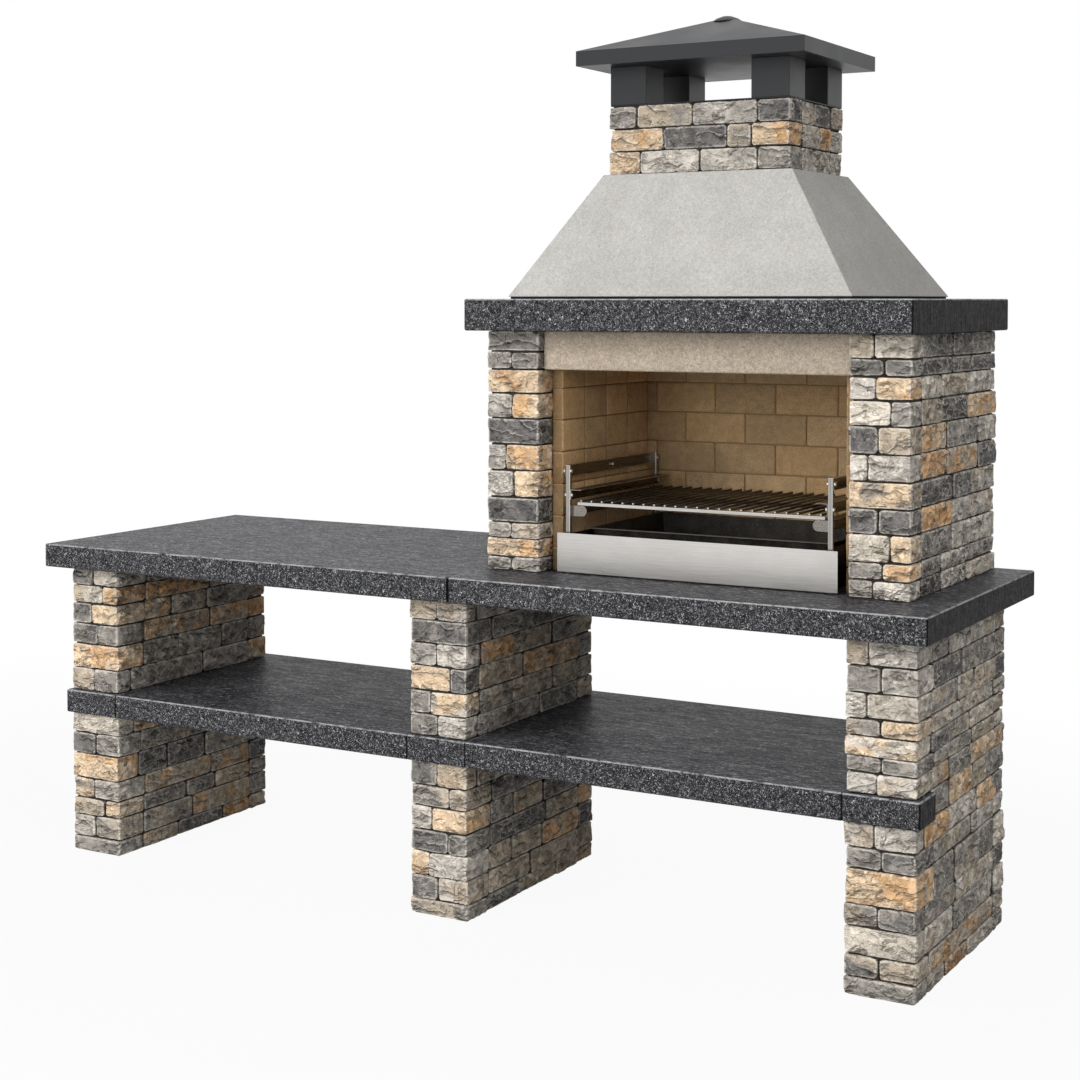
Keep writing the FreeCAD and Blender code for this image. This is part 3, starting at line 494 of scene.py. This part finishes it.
def brickwork(name, fire_side, brick, pointing):
    """Firebricks with chips along the edges and a painted highlight on them, and their pointing, in place
    of a node of plain bricks.
    """
    heap = Heap()
    boxes = solids_of(name)
    front = min(low[1] for low, high in boxes) + FACE_NEAR
    on_side_wall = fire_side[0] == 0
    hidden_side = (fire_side[0], 1 - fire_side[1])
    for number, (low, high) in enumerate(boxes):
        seed = name_seed(name) + BRICK_SEED_STEP * number
        pick = np.random.RandomState(seed)
        outer = {fire_side} | ({(1, 0)} if low[1] < front else set())
        places = [rows(high[axis] - low[axis], BRICK_CELL) for axis in range(3)]
        points, faces = cut_box(low, places, (hidden_side,))
        chips = np.maximum(noise(points, 0.012, seed) - 0.5, 0) * BRICK_CHIPS
        points, way = rounded(points, low, high, BRICK_ROUNDING)
        edge = 1 - np.abs(way).max(axis=1)
        rough = (noise(points, 0.02, seed + 3) - 0.6) * BRICK_ROUGHNESS - edge * chips
        points = points + way * rough[:, None]
        warm = pick.uniform(-BRICK_WARMTH, BRICK_WARMTH)
        base = linear(BRICK_TONE) * pick.uniform(*BRICK_SPREAD) * np.array([1 + warm * 0.5, 1, 1 - warm])
        # Tone that varies at random, with a painted highlight along the rounded edges
        shade = 0.9 + 0.2 * noise(points, 0.05, seed + 7) + 0.7 * edge
        # Side walls: painted light over the whole wall, painted shade on the bricks' front ends
        if on_side_wall:
            base *= SIDE_BRICK_PAINTED_LIGHT
            shade *= 1 - 0.5 * smooth(0.5, 0.9, -way[:, 1])
        heap.add(points, faces, np.column_stack([base * shade[:, None], np.full(len(points), pick.rand())]))
        low, high = low - BRICK_JOINT / 2, high + BRICK_JOINT / 2
        pull_in(low, high, outer, POINTING_DEPTH + BRICK_JOINT / 2)
        low, high = np.maximum(low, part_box(name)[0]), np.minimum(high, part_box(name)[1])
        heap.add(*plain_box(low, high), NO_TONE, slot=1)
    piece = heap.piece(name.replace("_firebricks", "_brickwork"), [brick, pointing])
    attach(piece, "masonry")
    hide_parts(name)


def grill_wires(material):
    """Round wires with softened, bright front ends in place of the plain rods."""
    heap = Heap()
    for low, high in solids_of("grill_rods"):
        middle, radius = (low + high) / 2, (high[2] - low[2]) / 2
        stations = [(low[1], radius - ROD_TIP), (low[1] + ROD_TIP, radius)]
        stations += [(high[1] - ROD_TIP, radius), (high[1], radius - ROD_TIP)]
        points = []
        for y, ring in stations:
            for n in range(ROD_SIDES):
                turn = 2 * math.pi * n / ROD_SIDES
                points.append((middle[0] + ring * math.sin(turn), y, middle[2] + ring * math.cos(turn)))
        faces = [list(range(ROD_SIDES))[::-1], [3 * ROD_SIDES + n for n in range(ROD_SIDES)]]
        for ring in range(3):
            for n in range(ROD_SIDES):
                a, b = ring * ROD_SIDES + n, ring * ROD_SIDES + (n + 1) % ROD_SIDES
                faces.append([a, b, b + ROD_SIDES, a + ROD_SIDES])
        bare = np.repeat([1.0, 0.4, 0.0, 0.0], ROD_SIDES)
        heap.add(np.array(points), faces, bare[:, None])
    piece = heap.piece("grill_wires", [material])
    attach(piece, "grill")
    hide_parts("grill_rods")


class Graph:
    """A material's nodes, with short calls to add and join them."""

    def __init__(self, name):
        self.material = bpy.data.materials.new(name)
        self.material.use_nodes = True
        self.tree = self.material.node_tree
        self.shader = self.tree.nodes["Principled BSDF"]
        self.place = self.add("TexCoord").outputs["Object"]

    def fill(self, socket, value):
        if isinstance(value, bpy.types.NodeSocket):
            self.tree.links.new(value, socket)
        else:
            socket.default_value = value

    def add(self, kind, settings=None, **inputs):
        node = self.tree.nodes.new(f"ShaderNode{kind}")
        for name, value in (settings or {}).items():
            setattr(node, name, value)
        for name, value in inputs.items():
            self.fill(node.inputs[name.replace("_", " ")], value)
        return node

    def set(self, **inputs):
        """Fills the shader's own sockets."""
        for name, value in inputs.items():
            self.fill(self.shader.inputs[name.replace("_", " ")], value)

    def math(self, operation, a, b=0.0):
        node = self.add("Math", {"operation": operation})
        self.fill(node.inputs[0], a)
        self.fill(node.inputs[1], b)
        return node.outputs[0]

    def times(self, a, b):
        return self.math("MULTIPLY", a, b)

    def vector(self, operation, a, b):
        node = self.add("VectorMath", {"operation": operation})
        self.fill(node.inputs[0], a)
        self.fill(node.inputs["Scale"] if operation == "SCALE" else node.inputs[1], b)
        return node.outputs["Value" if operation in ("DOT_PRODUCT", "LENGTH") else "Vector"]

    def parts(self, vector):
        """The x, y and z outputs of a vector."""
        return self.add("SeparateXYZ", Vector=vector).outputs

    def normal(self):
        """The face's own direction, without bump."""
        return self.add("NewGeometry").outputs["True Normal"]

    def stretched(self, x, y, z):
        """Object coordinates, scaled so that a texture is drawn out along an axis with a small factor."""
        node = self.add("Mapping", Vector=self.place)
        node.inputs["Scale"].default_value = (x, y, z)
        return node.outputs["Vector"]

    def noise(self, scale, detail=4.0, roughness=0.55, distortion=0.0, place=None):
        node = self.add("TexNoise", Vector=place or self.place, Scale=scale, Detail=detail)
        node.inputs["Roughness"].default_value = roughness
        node.inputs["Distortion"].default_value = distortion
        return node.outputs["Fac"]

    def worm(self, scale, detail, distortion, place=None):
        """Distance from thin wandering lines, 0 on a line."""
        field = self.noise(scale, detail, 0.5, distortion, place)
        return self.math("ABSOLUTE", self.math("SUBTRACT", field, 0.5))

    def span(self, value, low, high, to_low=0.0, to_high=1.0):
        """Maps a range of values smoothly to another."""
        node = self.add("MapRange", {"interpolation_type": "SMOOTHSTEP"}, Value=value)
        node.inputs["From Min"].default_value = low
        node.inputs["From Max"].default_value = high
        node.inputs["To Min"].default_value = to_low
        node.inputs["To Max"].default_value = to_high
        return node.outputs[0]

    def mix(self, share, a, b):
        node = self.add("Mix", {"data_type": "RGBA", "blend_type": "MIX"})
        self.fill(node.inputs[0], share)
        self.fill(node.inputs[6], a)
        self.fill(node.inputs[7], b)
        return node.outputs[2]

    def bump(self, height, distance, strength=1.0):
        return self.add("Bump", Height=height, Distance=distance, Strength=strength).outputs["Normal"]

    def specular(self, level):
        self.shader.inputs["Specular IOR Level"].default_value = level


# Shift of a texture between pieces, by the fourth value of their tone
TEXTURE_SHIFT = 8.0
MIDDLE_GREY = (0.5, 0.5, 0.5)

# Split stone: cells per metre of its facets, and the terraces' scale, levels, rise in metres and the
# strength of their painted shade and highlight
FACET_SCALE = 32.0
TERRACE_SCALE = 17.0
TERRACE_LEVELS = 4.0
TERRACE_RISE = 0.0046
TERRACE_SHADE = 0.11


def split_stone_material():
    """Split stone over each stone's tone: facets, pale crest lines, terraces, and ledges with cracks and
    lips, all with painted shade and painted highlights.
    """
    g = Graph("split_stone")
    own = g.add("Attribute", {"attribute_name": "tone"})
    g.place = g.vector("ADD", g.place, g.times(own.outputs["Alpha"], TEXTURE_SHIFT))
    flat = g.stretched(1.0, 1.0, 1.5)
    flank = g.span(g.math("ABSOLUTE", g.parts(g.normal())["X"]), 0.5, 0.8)

    # Grain, and facets that lean each its own way, with painted shade across each facet, stronger on the
    # flanks
    chip = g.noise(150, 4, 0.62, 0.4)
    drift = g.add("TexNoise", Vector=flat, Scale=60.0, Detail=2.0).outputs["Color"]
    wavy = g.vector("ADD", flat, g.vector("SCALE", g.vector("SUBTRACT", drift, MIDDLE_GREY), 0.03))
    cell = g.add("TexVoronoi", Vector=wavy, Scale=FACET_SCALE).outputs
    lean = g.vector("SUBTRACT", cell["Color"], MIDDLE_GREY)
    facet = g.vector("DOT_PRODUCT", g.vector("SUBTRACT", wavy, cell["Position"]), lean)
    shade = g.times(g.span(chip, 0.25, 0.75, 1.1, 1.28), g.span(facet, -0.007, 0.007, 0.85, 1.14))
    flank_facet_shade = g.times(flank, g.span(facet, -0.006, 0.006, -0.2, 0.16))
    shade = g.times(shade, g.math("ADD", 1.0, flank_facet_shade))
    height = g.math("ADD", g.times(chip, 0.0036), g.times(facet, 1.3))

    # Painted highlight: pale lines on the crests between the facets, clearest on the flanks
    edge = g.add("TexVoronoi", {"feature": "DISTANCE_TO_EDGE"}, Vector=wavy, Scale=FACET_SCALE)
    seam = g.span(edge.outputs["Distance"], 0.02, 0.1, 1.0, 0.0)
    facet_crest_highlight = g.times(seam, g.span(g.noise(26, 2), 0.42, 0.54))
    height = g.math("ADD", height, g.times(facet_crest_highlight, 0.0014))
    pale = g.times(facet_crest_highlight, g.span(flank, 0, 1, 0.2, 0.62))

    # Terraces with painted shade at the foot and a painted highlight on the crest
    field = g.times(g.noise(TERRACE_SCALE, 2.0, 0.5, 0.6, flat), TERRACE_LEVELS)
    level = g.math("FLOOR", field)
    part = g.math("SUBTRACT", field, level)
    climb = g.math("ADD", level, g.span(part, 0.36, 0.64))
    height = g.math("ADD", height, g.times(climb, TERRACE_RISE))
    foot = g.times(g.span(part, 0.2, 0.38), g.span(part, 0.42, 0.52, 1.0, 0.0))
    crest = g.times(g.span(part, 0.5, 0.6), g.span(part, 0.66, 0.84, 1.0, 0.0))
    shade = g.times(shade, g.span(foot, 0.0, 1.0, 1.0, 1 - TERRACE_SHADE))
    pale = g.math("MAXIMUM", pale, g.times(crest, 0.5 * TERRACE_SHADE))

    # Two ledges: a crack with painted shade in it, a painted shadow under it and a painted highlight on the
    # lip above it
    held = g.add("Attribute", {"attribute_name": "ledge"})
    ledges = g.add("SeparateColor", Color=held.outputs["Color"]).outputs
    stray = g.times(g.math("SUBTRACT", g.noise(60, 2, 0.5), 0.5), 0.016)
    for above, reach in ((ledges[0], ledges[1]), (ledges[2], held.outputs["Alpha"])):
        above = g.math("ADD", above, stray)
        reach = g.span(reach, 0.3, 0.7)
        crack = g.times(reach, g.span(g.math("ABSOLUTE", above), 0.0006, 0.003, 1.0, 0.0))
        lip = g.times(g.span(above, 0.0012, 0.003), g.span(above, 0.004, 0.008, 1.0, 0.0))
        under = g.times(g.span(above, -0.013, -0.002), g.span(above, 0.0, 0.001, 1.0, 0.0))
        shade = g.times(shade, g.span(crack, 0.0, 1.0, 1.0, 0.56))
        shade = g.times(shade, g.span(g.times(under, reach), 0.0, 1.0, 1.0, 0.78))
        pale = g.math("MAXIMUM", pale, g.times(g.times(lip, reach), 0.34))
        height = g.math("SUBTRACT", height, g.times(crack, 0.003))

    # The painted highlights are mixed towards the highlight tone
    colour = g.mix(pale, g.vector("SCALE", own.outputs["Color"], shade), rgba(HIGHLIGHT_TONE))
    g.set(Base_Color=colour, Roughness=g.span(chip, 0.3, 0.7, 0.72, 0.9), Normal=g.bump(height, 1.0))
    g.specular(0.25)
    return g.material


def mortar_material():
    """Dark sandy mortar."""
    g = Graph("joint_mortar")
    sand = g.noise(500, 4)
    g.set(Base_Color=g.mix(sand, rgba((40, 37, 34)), rgba((72, 67, 61))), Roughness=0.95)
    g.set(Normal=g.bump(sand, 0.002, 0.6))
    return g.material


# Granite colours, 0 to 255, among them a painted shade for the corners and a painted highlight for the
# upper edges, and the scale and share of its pale needles
SLAB_SIDE = ((29, 29, 31), (60, 60, 63))
SLAB_GRIT = (104, 104, 106)
SLAB_NEEDLE = (200, 200, 202)
SLAB_SAWN = ((16, 15, 16), (56, 54, 54))
SLAB_CORNER_SHADE = (14, 14, 15)
SLAB_TOP = ((20, 21, 23), (50, 50, 54))
SLAB_STREAK = (138, 138, 142)
SLAB_FLAKE = (184, 184, 188)
SLAB_EDGE_HIGHLIGHT = (196, 196, 198)
SLAB_NEEDLES = ((115, 0.95), (190, 0.8))


def slab_material():
    """Dark granite: rough sides with pale needles, a honed top with fine streaks, upper edges with chips
    and a painted highlight.
    """
    g = Graph("dark_slab")
    normal = g.parts(g.normal())
    top = g.span(normal["Z"], 0.92, 0.98)
    sawn = g.span(g.math("ABSOLUTE", normal["X"]), 0.5, 0.9)
    upper_edge = g.times(g.span(normal["Z"], 0.2, 0.35), g.span(normal["Z"], 0.93, 0.97, 1.0, 0.0))
    corner = g.math("ABSOLUTE", g.times(normal["X"], normal["Y"]))

    # Sides: clouds, grit and needles, saw marks on the ends, painted shade on the vertical corner bevels
    cloud = g.noise(95, 4, 0.6)
    grit = g.noise(300, 3, 0.6)
    side = g.mix(g.span(cloud, 0.3, 0.7), *map(rgba, SLAB_SIDE))
    side = g.mix(g.span(grit, 0.58, 0.72, 0.0, 0.35), side, rgba(SLAB_GRIT))
    for scale, share in SLAB_NEEDLES:
        kept = g.span(g.noise(scale * 1.5, 1), 0.5, 0.57)
        needle = g.times(g.span(g.worm(scale, 1.0, 1.2), 0.008, 0.022, share, 0.0), kept)
        side = g.mix(g.times(needle, g.span(sawn, 0, 1, 1.0, 0.4)), side, rgba(SLAB_NEEDLE))
    saw = g.noise(150, 3, 0.65, 0.0, g.stretched(1.0, 1.0, 0.1))
    side = g.mix(g.times(sawn, 0.7), side, g.mix(g.span(saw, 0.35, 0.65), *map(rgba, SLAB_SAWN)))
    side = g.mix(g.span(corner, 0.12, 0.3, 0.0, 0.85), side, rgba(SLAB_CORNER_SHADE))

    # Top: drawn-out clouds, streaks and flakes
    drawn = g.noise(70, 4, 0.6, 0.3, g.stretched(0.22, 1.5, 1.0))
    streak = g.worm(55, 2, 1.2, g.stretched(0.5, 1.8, 1.0))
    flake = g.noise(190, 2, 0.5, 0.6, g.stretched(0.45, 1.3, 1.0))
    honed = g.mix(g.span(drawn, 0.34, 0.66), *map(rgba, SLAB_TOP))
    honed = g.mix(g.span(streak, 0.008, 0.035, 0.6, 0.0), honed, rgba(SLAB_STREAK))
    honed = g.mix(g.span(flake, 0.6, 0.68, 0.0, 0.7), honed, rgba(SLAB_FLAKE))

    # Upper edges: chips in a noise pattern, with a painted highlight where the bevel faces up
    chipped_edge_highlight = g.times(upper_edge, g.span(g.noise(45, 4, 0.6), 0.3, 0.56))
    g.set(Base_Color=g.mix(g.times(chipped_edge_highlight, 0.6), g.mix(top, side, honed), rgba(SLAB_EDGE_HIGHLIGHT)))
    g.set(Roughness=g.math("ADD", g.span(top, 0, 1, 0.65, 0.44), g.span(drawn, 0.35, 0.65, -0.1, 0.1)))
    relief = g.math("ADD", g.times(cloud, 0.004), g.times(grit, 0.001))
    g.set(Normal=g.bump(g.times(relief, g.span(top, 0, 1, 1.0, 0.16)), 1.0, 0.7))
    g.specular(0.06)
    return g.material


def concrete_material(name, pale, dark, depth):
    """Fine cast concrete: a felted surface with faint clouds, small worm marks and grains."""
    g = Graph(name)
    cloud = g.noise(9, 5, 0.6)
    sand = g.noise(330, 4, 0.7)
    felt = g.noise(125, 3, 0.6, 1.2)
    worm = g.worm(90, 2, 1.6)
    colour = g.mix(g.span(cloud, 0.3, 0.7), rgba(dark), rgba(pale))
    shade = g.times(g.span(felt, 0.3, 0.7, 1 - depth, 1 + 0.8 * depth), g.span(sand, 0.3, 0.7, 0.9, 1.08))
    shade = g.times(shade, g.span(worm, 0.006, 0.03, 1 + depth, 1.0))
    g.set(Base_Color=g.vector("SCALE", colour, shade), Roughness=0.88)
    height = g.math("ADD", g.times(felt, 0.02 * depth), g.times(sand, 0.0008))
    height = g.math("SUBTRACT", height, g.times(worm, 0.02 * depth))
    g.set(Normal=g.bump(height, 1.0, 0.6))
    g.specular(0.25)
    return g.material


def firebrick_material():
    """Pale firebrick over the tone of each brick, with sand grain and small dark specks."""
    g = Graph("firebrick")
    own = g.add("Attribute", {"attribute_name": "tone"})
    g.place = g.vector("ADD", g.place, g.times(own.outputs["Alpha"], TEXTURE_SHIFT))
    sand = g.noise(330, 4, 0.7)
    cloud = g.noise(45, 4, 0.6)
    shade = g.times(g.span(cloud, 0.3, 0.7, 0.9, 1.1), g.span(sand, 0.34, 0.56, 0.66, 1.06))
    g.set(Base_Color=g.vector("SCALE", own.outputs["Color"], shade), Roughness=0.9)
    g.set(Normal=g.bump(sand, 0.0012, 0.5))
    g.specular(0.2)
    return g.material


def clay_material(name, pale, dark):
    """Plain sandy clay."""
    g = Graph(name)
    sand = g.noise(240, 5, 0.65)
    g.set(Base_Color=g.mix(sand, rgba(dark), rgba(pale)), Roughness=0.92)
    g.set(Normal=g.bump(sand, 0.0012, 0.4))
    return g.material


def brushed_material(name, pale, dark, edges, roughness, along):
    """Ground steel with fine lines along one axis and a painted highlight on the bevelled edges."""
    g = Graph(name)
    factors = [1.0, 1.0, 1.0]
    factors[along] = 0.02
    lines = g.noise(420, 4, 0.75, 0.0, g.stretched(*factors))
    cloud = g.noise(9, 4)
    blunt = g.parts(g.vector("ABSOLUTE", g.normal(), (0, 0, 0)))
    flat = g.math("MAXIMUM", blunt["X"], g.math("MAXIMUM", blunt["Y"], blunt["Z"]))
    colour = g.mix(g.span(lines, 0.3, 0.7), rgba(dark), rgba(pale))
    # Painted highlight on the bevels, where the faces turn
    g.set(Base_Color=g.mix(g.span(flat, 0.93, 0.98, 1.0, 0.0), colour, rgba(edges)), Metallic=1.0)
    fine = g.span(lines, 0.3, 0.7, roughness - 0.07, roughness + 0.07)
    g.set(Roughness=g.math("ADD", fine, g.span(cloud, 0.3, 0.7, -0.04, 0.04)))
    g.set(Normal=g.bump(lines, 0.0001, 0.15))
    return g.material


# Where the pan's bare front wall ends, along y
PAN_FRONT = (-0.134, -0.128)
DUST = (140, 134, 127)


def dark_steel_material(name, dark, pale, bare=None):
    """Heat-resistant dark finish, dusty and a little scorched; a bare colour shows on the front wall."""
    g = Graph(name)
    cloud = g.noise(22, 6, 0.65)
    dust = g.noise(210, 4, 0.6)
    colour = g.mix(g.span(cloud, 0.35, 0.7), rgba(dark), rgba(pale))
    if bare:
        colour = g.mix(g.span(g.parts(g.place)["Y"], *PAN_FRONT, 1.0, 0.0), colour, rgba(bare))
    g.set(Base_Color=g.mix(g.span(dust, 0.55, 0.75, 0.0, 0.35), colour, rgba(DUST)))
    g.set(Roughness=g.span(cloud, 0.3, 0.7, 0.38, 0.55), Metallic=0.7)
    g.set(Normal=g.bump(dust, 0.0005, 0.25))
    return g.material


def grill_material():
    """Heat-darkened steel wire with bright cut ends."""
    g = Graph("grill_steel")
    cloud = g.noise(40, 5, 0.6)
    cut_end = g.add("Attribute", {"attribute_name": "tone"}).outputs["Fac"]
    colour = g.mix(g.span(cloud, 0.35, 0.7), rgba((58, 52, 46)), rgba((104, 96, 86)))
    g.set(Base_Color=g.mix(g.span(cut_end, 0.2, 0.8), colour, rgba((214, 208, 198))), Metallic=0.9)
    g.set(Roughness=g.span(cloud, 0.3, 0.7, 0.3, 0.5), Normal=g.bump(g.noise(500, 3), 0.0004, 0.3))
    return g.material


def paint_material():
    """Anthracite powder coat."""
    g = Graph("cap_paint")
    orange_peel = g.noise(700, 2)
    cloud = g.noise(5, 4)
    g.set(Base_Color=g.mix(cloud, rgba((38, 39, 41)), rgba((46, 47, 49))))
    g.set(Roughness=g.span(cloud, 0.3, 0.7, 0.38, 0.48), Normal=g.bump(orange_peel, 0.0003, 0.2))
    g.specular(0.36)
    return g.material


def seal_material():
    """Dark fibre seal under the hood."""
    g = Graph("hood_seal")
    grain = g.noise(300, 4)
    g.set(Base_Color=g.mix(grain, rgba((28, 28, 29)), rgba((46, 45, 44))), Roughness=0.9)
    return g.material


def dress(names, material, bevel=0.0):
    """Gives nodes a material and, where asked, soft edges that catch the light."""
    for name in names:
        thing = nodes[name]
        thing.data.materials.clear()
        thing.data.materials.append(material)
        if bevel:
            weld = thing.modifiers.new("weld", "WELD")
            weld.merge_threshold = 0.00002
            soft = thing.modifiers.new("soft_edges", "BEVEL")
            soft.width = bevel
            soft.segments = 2
            soft.limit_method = "ANGLE"
            soft.angle_limit = math.radians(25)
            soft.harden_normals = True


def ending(*words):
    """Names of the nodes that end in one of the given words."""
    return [name for name in nodes if name.endswith(words)]


# Ground steels: nodes, pale and dark colour, colour of the painted highlight on the edges, roughness, axis
# of the lines, soft edge
STEELS = {
    "fascia_steel": (
        ["drawer_fascia"], (233, 230, 226), (210, 207, 203), (250, 249, 247), 0.36, 0, 0.0014,
    ),
    "bright_steel": (
        ending("_upright"), (182, 178, 172), (146, 142, 136), (226, 223, 218), 0.26, 2, 0.0012,
    ),
    "bar_steel": (
        ["grill_front_bar"], (214, 211, 206), (184, 181, 176), (246, 244, 241), 0.26, 0, 0.0008,
    ),
    "bolt_zinc": (
        ["carrier_bolts", "wall_studs"], (238, 236, 232), (216, 214, 210), (252, 251, 249), 0.24, 1, 0.0008,
    ),
    "carrier_steel": (
        ending("_rail", "_strip"), (122, 113, 102), (84, 77, 69), (226, 218, 207), 0.3, 1, 0.0012,
    ),
    "lug_steel": (
        ending("_lug"), (160, 155, 148), (118, 113, 106), (232, 228, 222), 0.2, 1, 0.0012,
    ),
}

# Sides of the firebrick walls that face the fire: axis, and 1 for its high end
FIRE_SIDES = {
    "left_firebricks": (0, 1),
    "right_firebricks": (0, 0),
    "back_firebricks": (1, 0),
}

# Masonry
stone, mortar = split_stone_material(), mortar_material()
for name in STONE_NODES:
    stonework(name, stone, mortar)
brick, pointing = firebrick_material(), clay_material("brick_pointing", (158, 132, 97), (126, 103, 74))
for name, fire_side in FIRE_SIDES.items():
    brickwork(name, fire_side, brick, pointing)
dress(SLAB_NODES, slab_material(), 0.0012)
hood_concrete = concrete_material("hood_concrete", (180, 178, 174), (171, 169, 165), 0.13)
dress(["smoke_hood"], hood_concrete, 0.003)
lintel_concrete = concrete_material("lintel_concrete", (190, 176, 158), (180, 166, 148), 0.26)
dress(["lintel"], lintel_concrete, 0.002)
insulation = clay_material("insulation", (150, 126, 92), (118, 96, 68))
dress(["left_backing", "right_backing", "back_backing"], insulation)
dress(["flue_liner"], clay_material("flue_clay", (150, 104, 80), (112, 76, 58)))
dress(["hood_seal"], seal_material())

# Metal
wire = grill_material()
grill_wires(wire)
dress(["grill_middle_bar", "grill_rear_bar"], wire, 0.0008)
dress([name for name in nodes if name.startswith("cap_")], paint_material(), 0.0015)
drawer_steel = dark_steel_material("drawer_steel", (40, 36, 32), (66, 60, 53))
dress(["drawer_box"], drawer_steel, 0.0008)
pan_steel = dark_steel_material("pan_steel", (48, 45, 42), (78, 74, 69), (158, 156, 152))
dress(["charcoal_pan"], pan_steel, 0.0012)
for name, (dressed, *look, bevel) in STEELS.items():
    dress(dressed, brushed_material(name, *look), bevel)

# Floor: half width in metres, colour, share of white seen near the object, and where it rises to 1
FLOOR_REACH = 30.0
FLOOR_COLOUR = (172, 172, 172)
FLOOR_GLOW = 0.94
FLOOR_FADE = (1.0, 3.2)
WHITE = (1, 1, 1, 1)


def floor_material():
    """Pale floor: white to the camera apart from a soft shadow near the object, grey to the light."""
    g = Graph("pale_floor")
    path = g.add("LightPath").outputs
    mirrored = g.math("MAXIMUM", path["Is Glossy Ray"], path["Is Transmission Ray"])
    seen = g.math("MAXIMUM", path["Is Camera Ray"], mirrored)
    matt = g.add("BsdfDiffuse", Color=rgba(FLOOR_COLOUR))
    glow = g.add("Emission", Color=WHITE, Strength=1.0)
    both = g.add("MixShader")
    away = g.vector("LENGTH", g.vector("MULTIPLY", g.place, (0.6, 1.0, 0.0)), (0, 0, 0))
    g.fill(both.inputs[0], g.times(seen, g.span(away, *FLOOR_FADE, FLOOR_GLOW, 1.0)))
    g.fill(both.inputs[1], matt.outputs[0])
    g.fill(both.inputs[2], glow.outputs[0])
    g.fill(g.tree.nodes["Material Output"].inputs["Surface"], both.outputs[0])
    return g.material


ground = bpy.data.meshes.new("floor")
corners = [(x * FLOOR_REACH, y * FLOOR_REACH, 0) for x, y in ((-1, -1), (1, -1), (1, 1), (-1, 1))]
ground.from_pydata(corners, [], [(0, 1, 2, 3)])
ground.materials.append(floor_material())
floor = bpy.data.objects.new("floor", ground)
bpy.context.scene.collection.objects.link(floor)

# Sky: white where it is seen or mirrored, weaker as a light
SKY_LIGHT = 0.31

world = bpy.data.worlds.new("studio")
bpy.context.scene.world = world
world.use_nodes = True
tree = world.node_tree
sky = tree.nodes["Background"]
sky.inputs["Color"].default_value = WHITE
path = tree.nodes.new("ShaderNodeLightPath")
level = tree.nodes.new("ShaderNodeMapRange")
level.inputs["To Min"].default_value = SKY_LIGHT
level.inputs["To Max"].default_value = 1.0
seen = path.outputs["Is Camera Ray"]
for kind in ("Is Glossy Ray", "Is Transmission Ray"):
    either = tree.nodes.new("ShaderNodeMath")
    either.operation = "MAXIMUM"
    tree.links.new(seen, either.inputs[0])
    tree.links.new(path.outputs[kind], either.inputs[1])
    seen = either.outputs[0]
tree.links.new(seen, level.inputs["Value"])
tree.links.new(level.outputs[0], sky.inputs["Strength"])

# Soft boxes: name, place, what they point at, size in metres, power in watts
LAMPS = (
    ("key", (-4.7, -8.1, 5.5), (0.3, -0.2, 1.0), (2.8, 2.8), 470),
    ("front", (-0.9, -5.4, 1.9), (0.4, 0, 1.1), (3.0, 2.0), 119),
    ("fill", (3.1, -2.3, 4.3), (0.9, 0, 1.2), (1.2, 1.2), 47),
    ("side", (4.2, -3.4, 2.4), (0.4, 0, 1.1), (1.0, 1.0), 22),
    ("back", (-2.4, 5.0, 2.4), (0.2, 0, 1.1), (3.0, 2.4), 90),
    ("overhead", (0.4, -0.8, 5.2), (0.4, -0.2, 0.9), (4.5, 3.0), 47),
)


def softbox(name, place, target, size, power):
    """A rectangular lamp that points at a target and doesn't show in reflections."""
    lamp = bpy.data.lights.new(name, "AREA")
    lamp.shape = "RECTANGLE"
    lamp.size, lamp.size_y = size
    lamp.energy = power
    thing = bpy.data.objects.new(name, lamp)
    bpy.context.scene.collection.objects.link(thing)
    thing.location = place
    aim = np.array(target) - np.array(place)
    turn = math.atan2(-aim[0], aim[1])
    lift = math.atan2(aim[2], math.hypot(aim[0], aim[1]))
    thing.rotation_euler = (math.pi / 2 + lift, 0, turn)
    thing.visible_glossy = False


for lamp in LAMPS:
    softbox(*lamp)

# Camera at the photograph's place: metres, degrees, and millimetres for the lens
CAMERA_PLACE = (2.5525, -4.3315, 1.5299)
CAMERA_YAW = 29.729
CAMERA_PITCH = 1.974
FOCAL_LENGTH = 64.067
SENSOR_WIDTH = 36.0
SHIFT_DOWN = 0.16

camera = bpy.data.cameras.new("camera")
camera.lens = FOCAL_LENGTH
camera.sensor_width = SENSOR_WIDTH
camera.shift_y = -SHIFT_DOWN
viewer = bpy.data.objects.new("camera", camera)
bpy.context.scene.collection.objects.link(viewer)
viewer.location = CAMERA_PLACE
viewer.rotation_euler = (math.radians(90 - CAMERA_PITCH), 0, math.radians(CAMERA_YAW))
bpy.context.scene.camera = viewer
bpy.context.scene.view_settings.view_transform = "Standard"
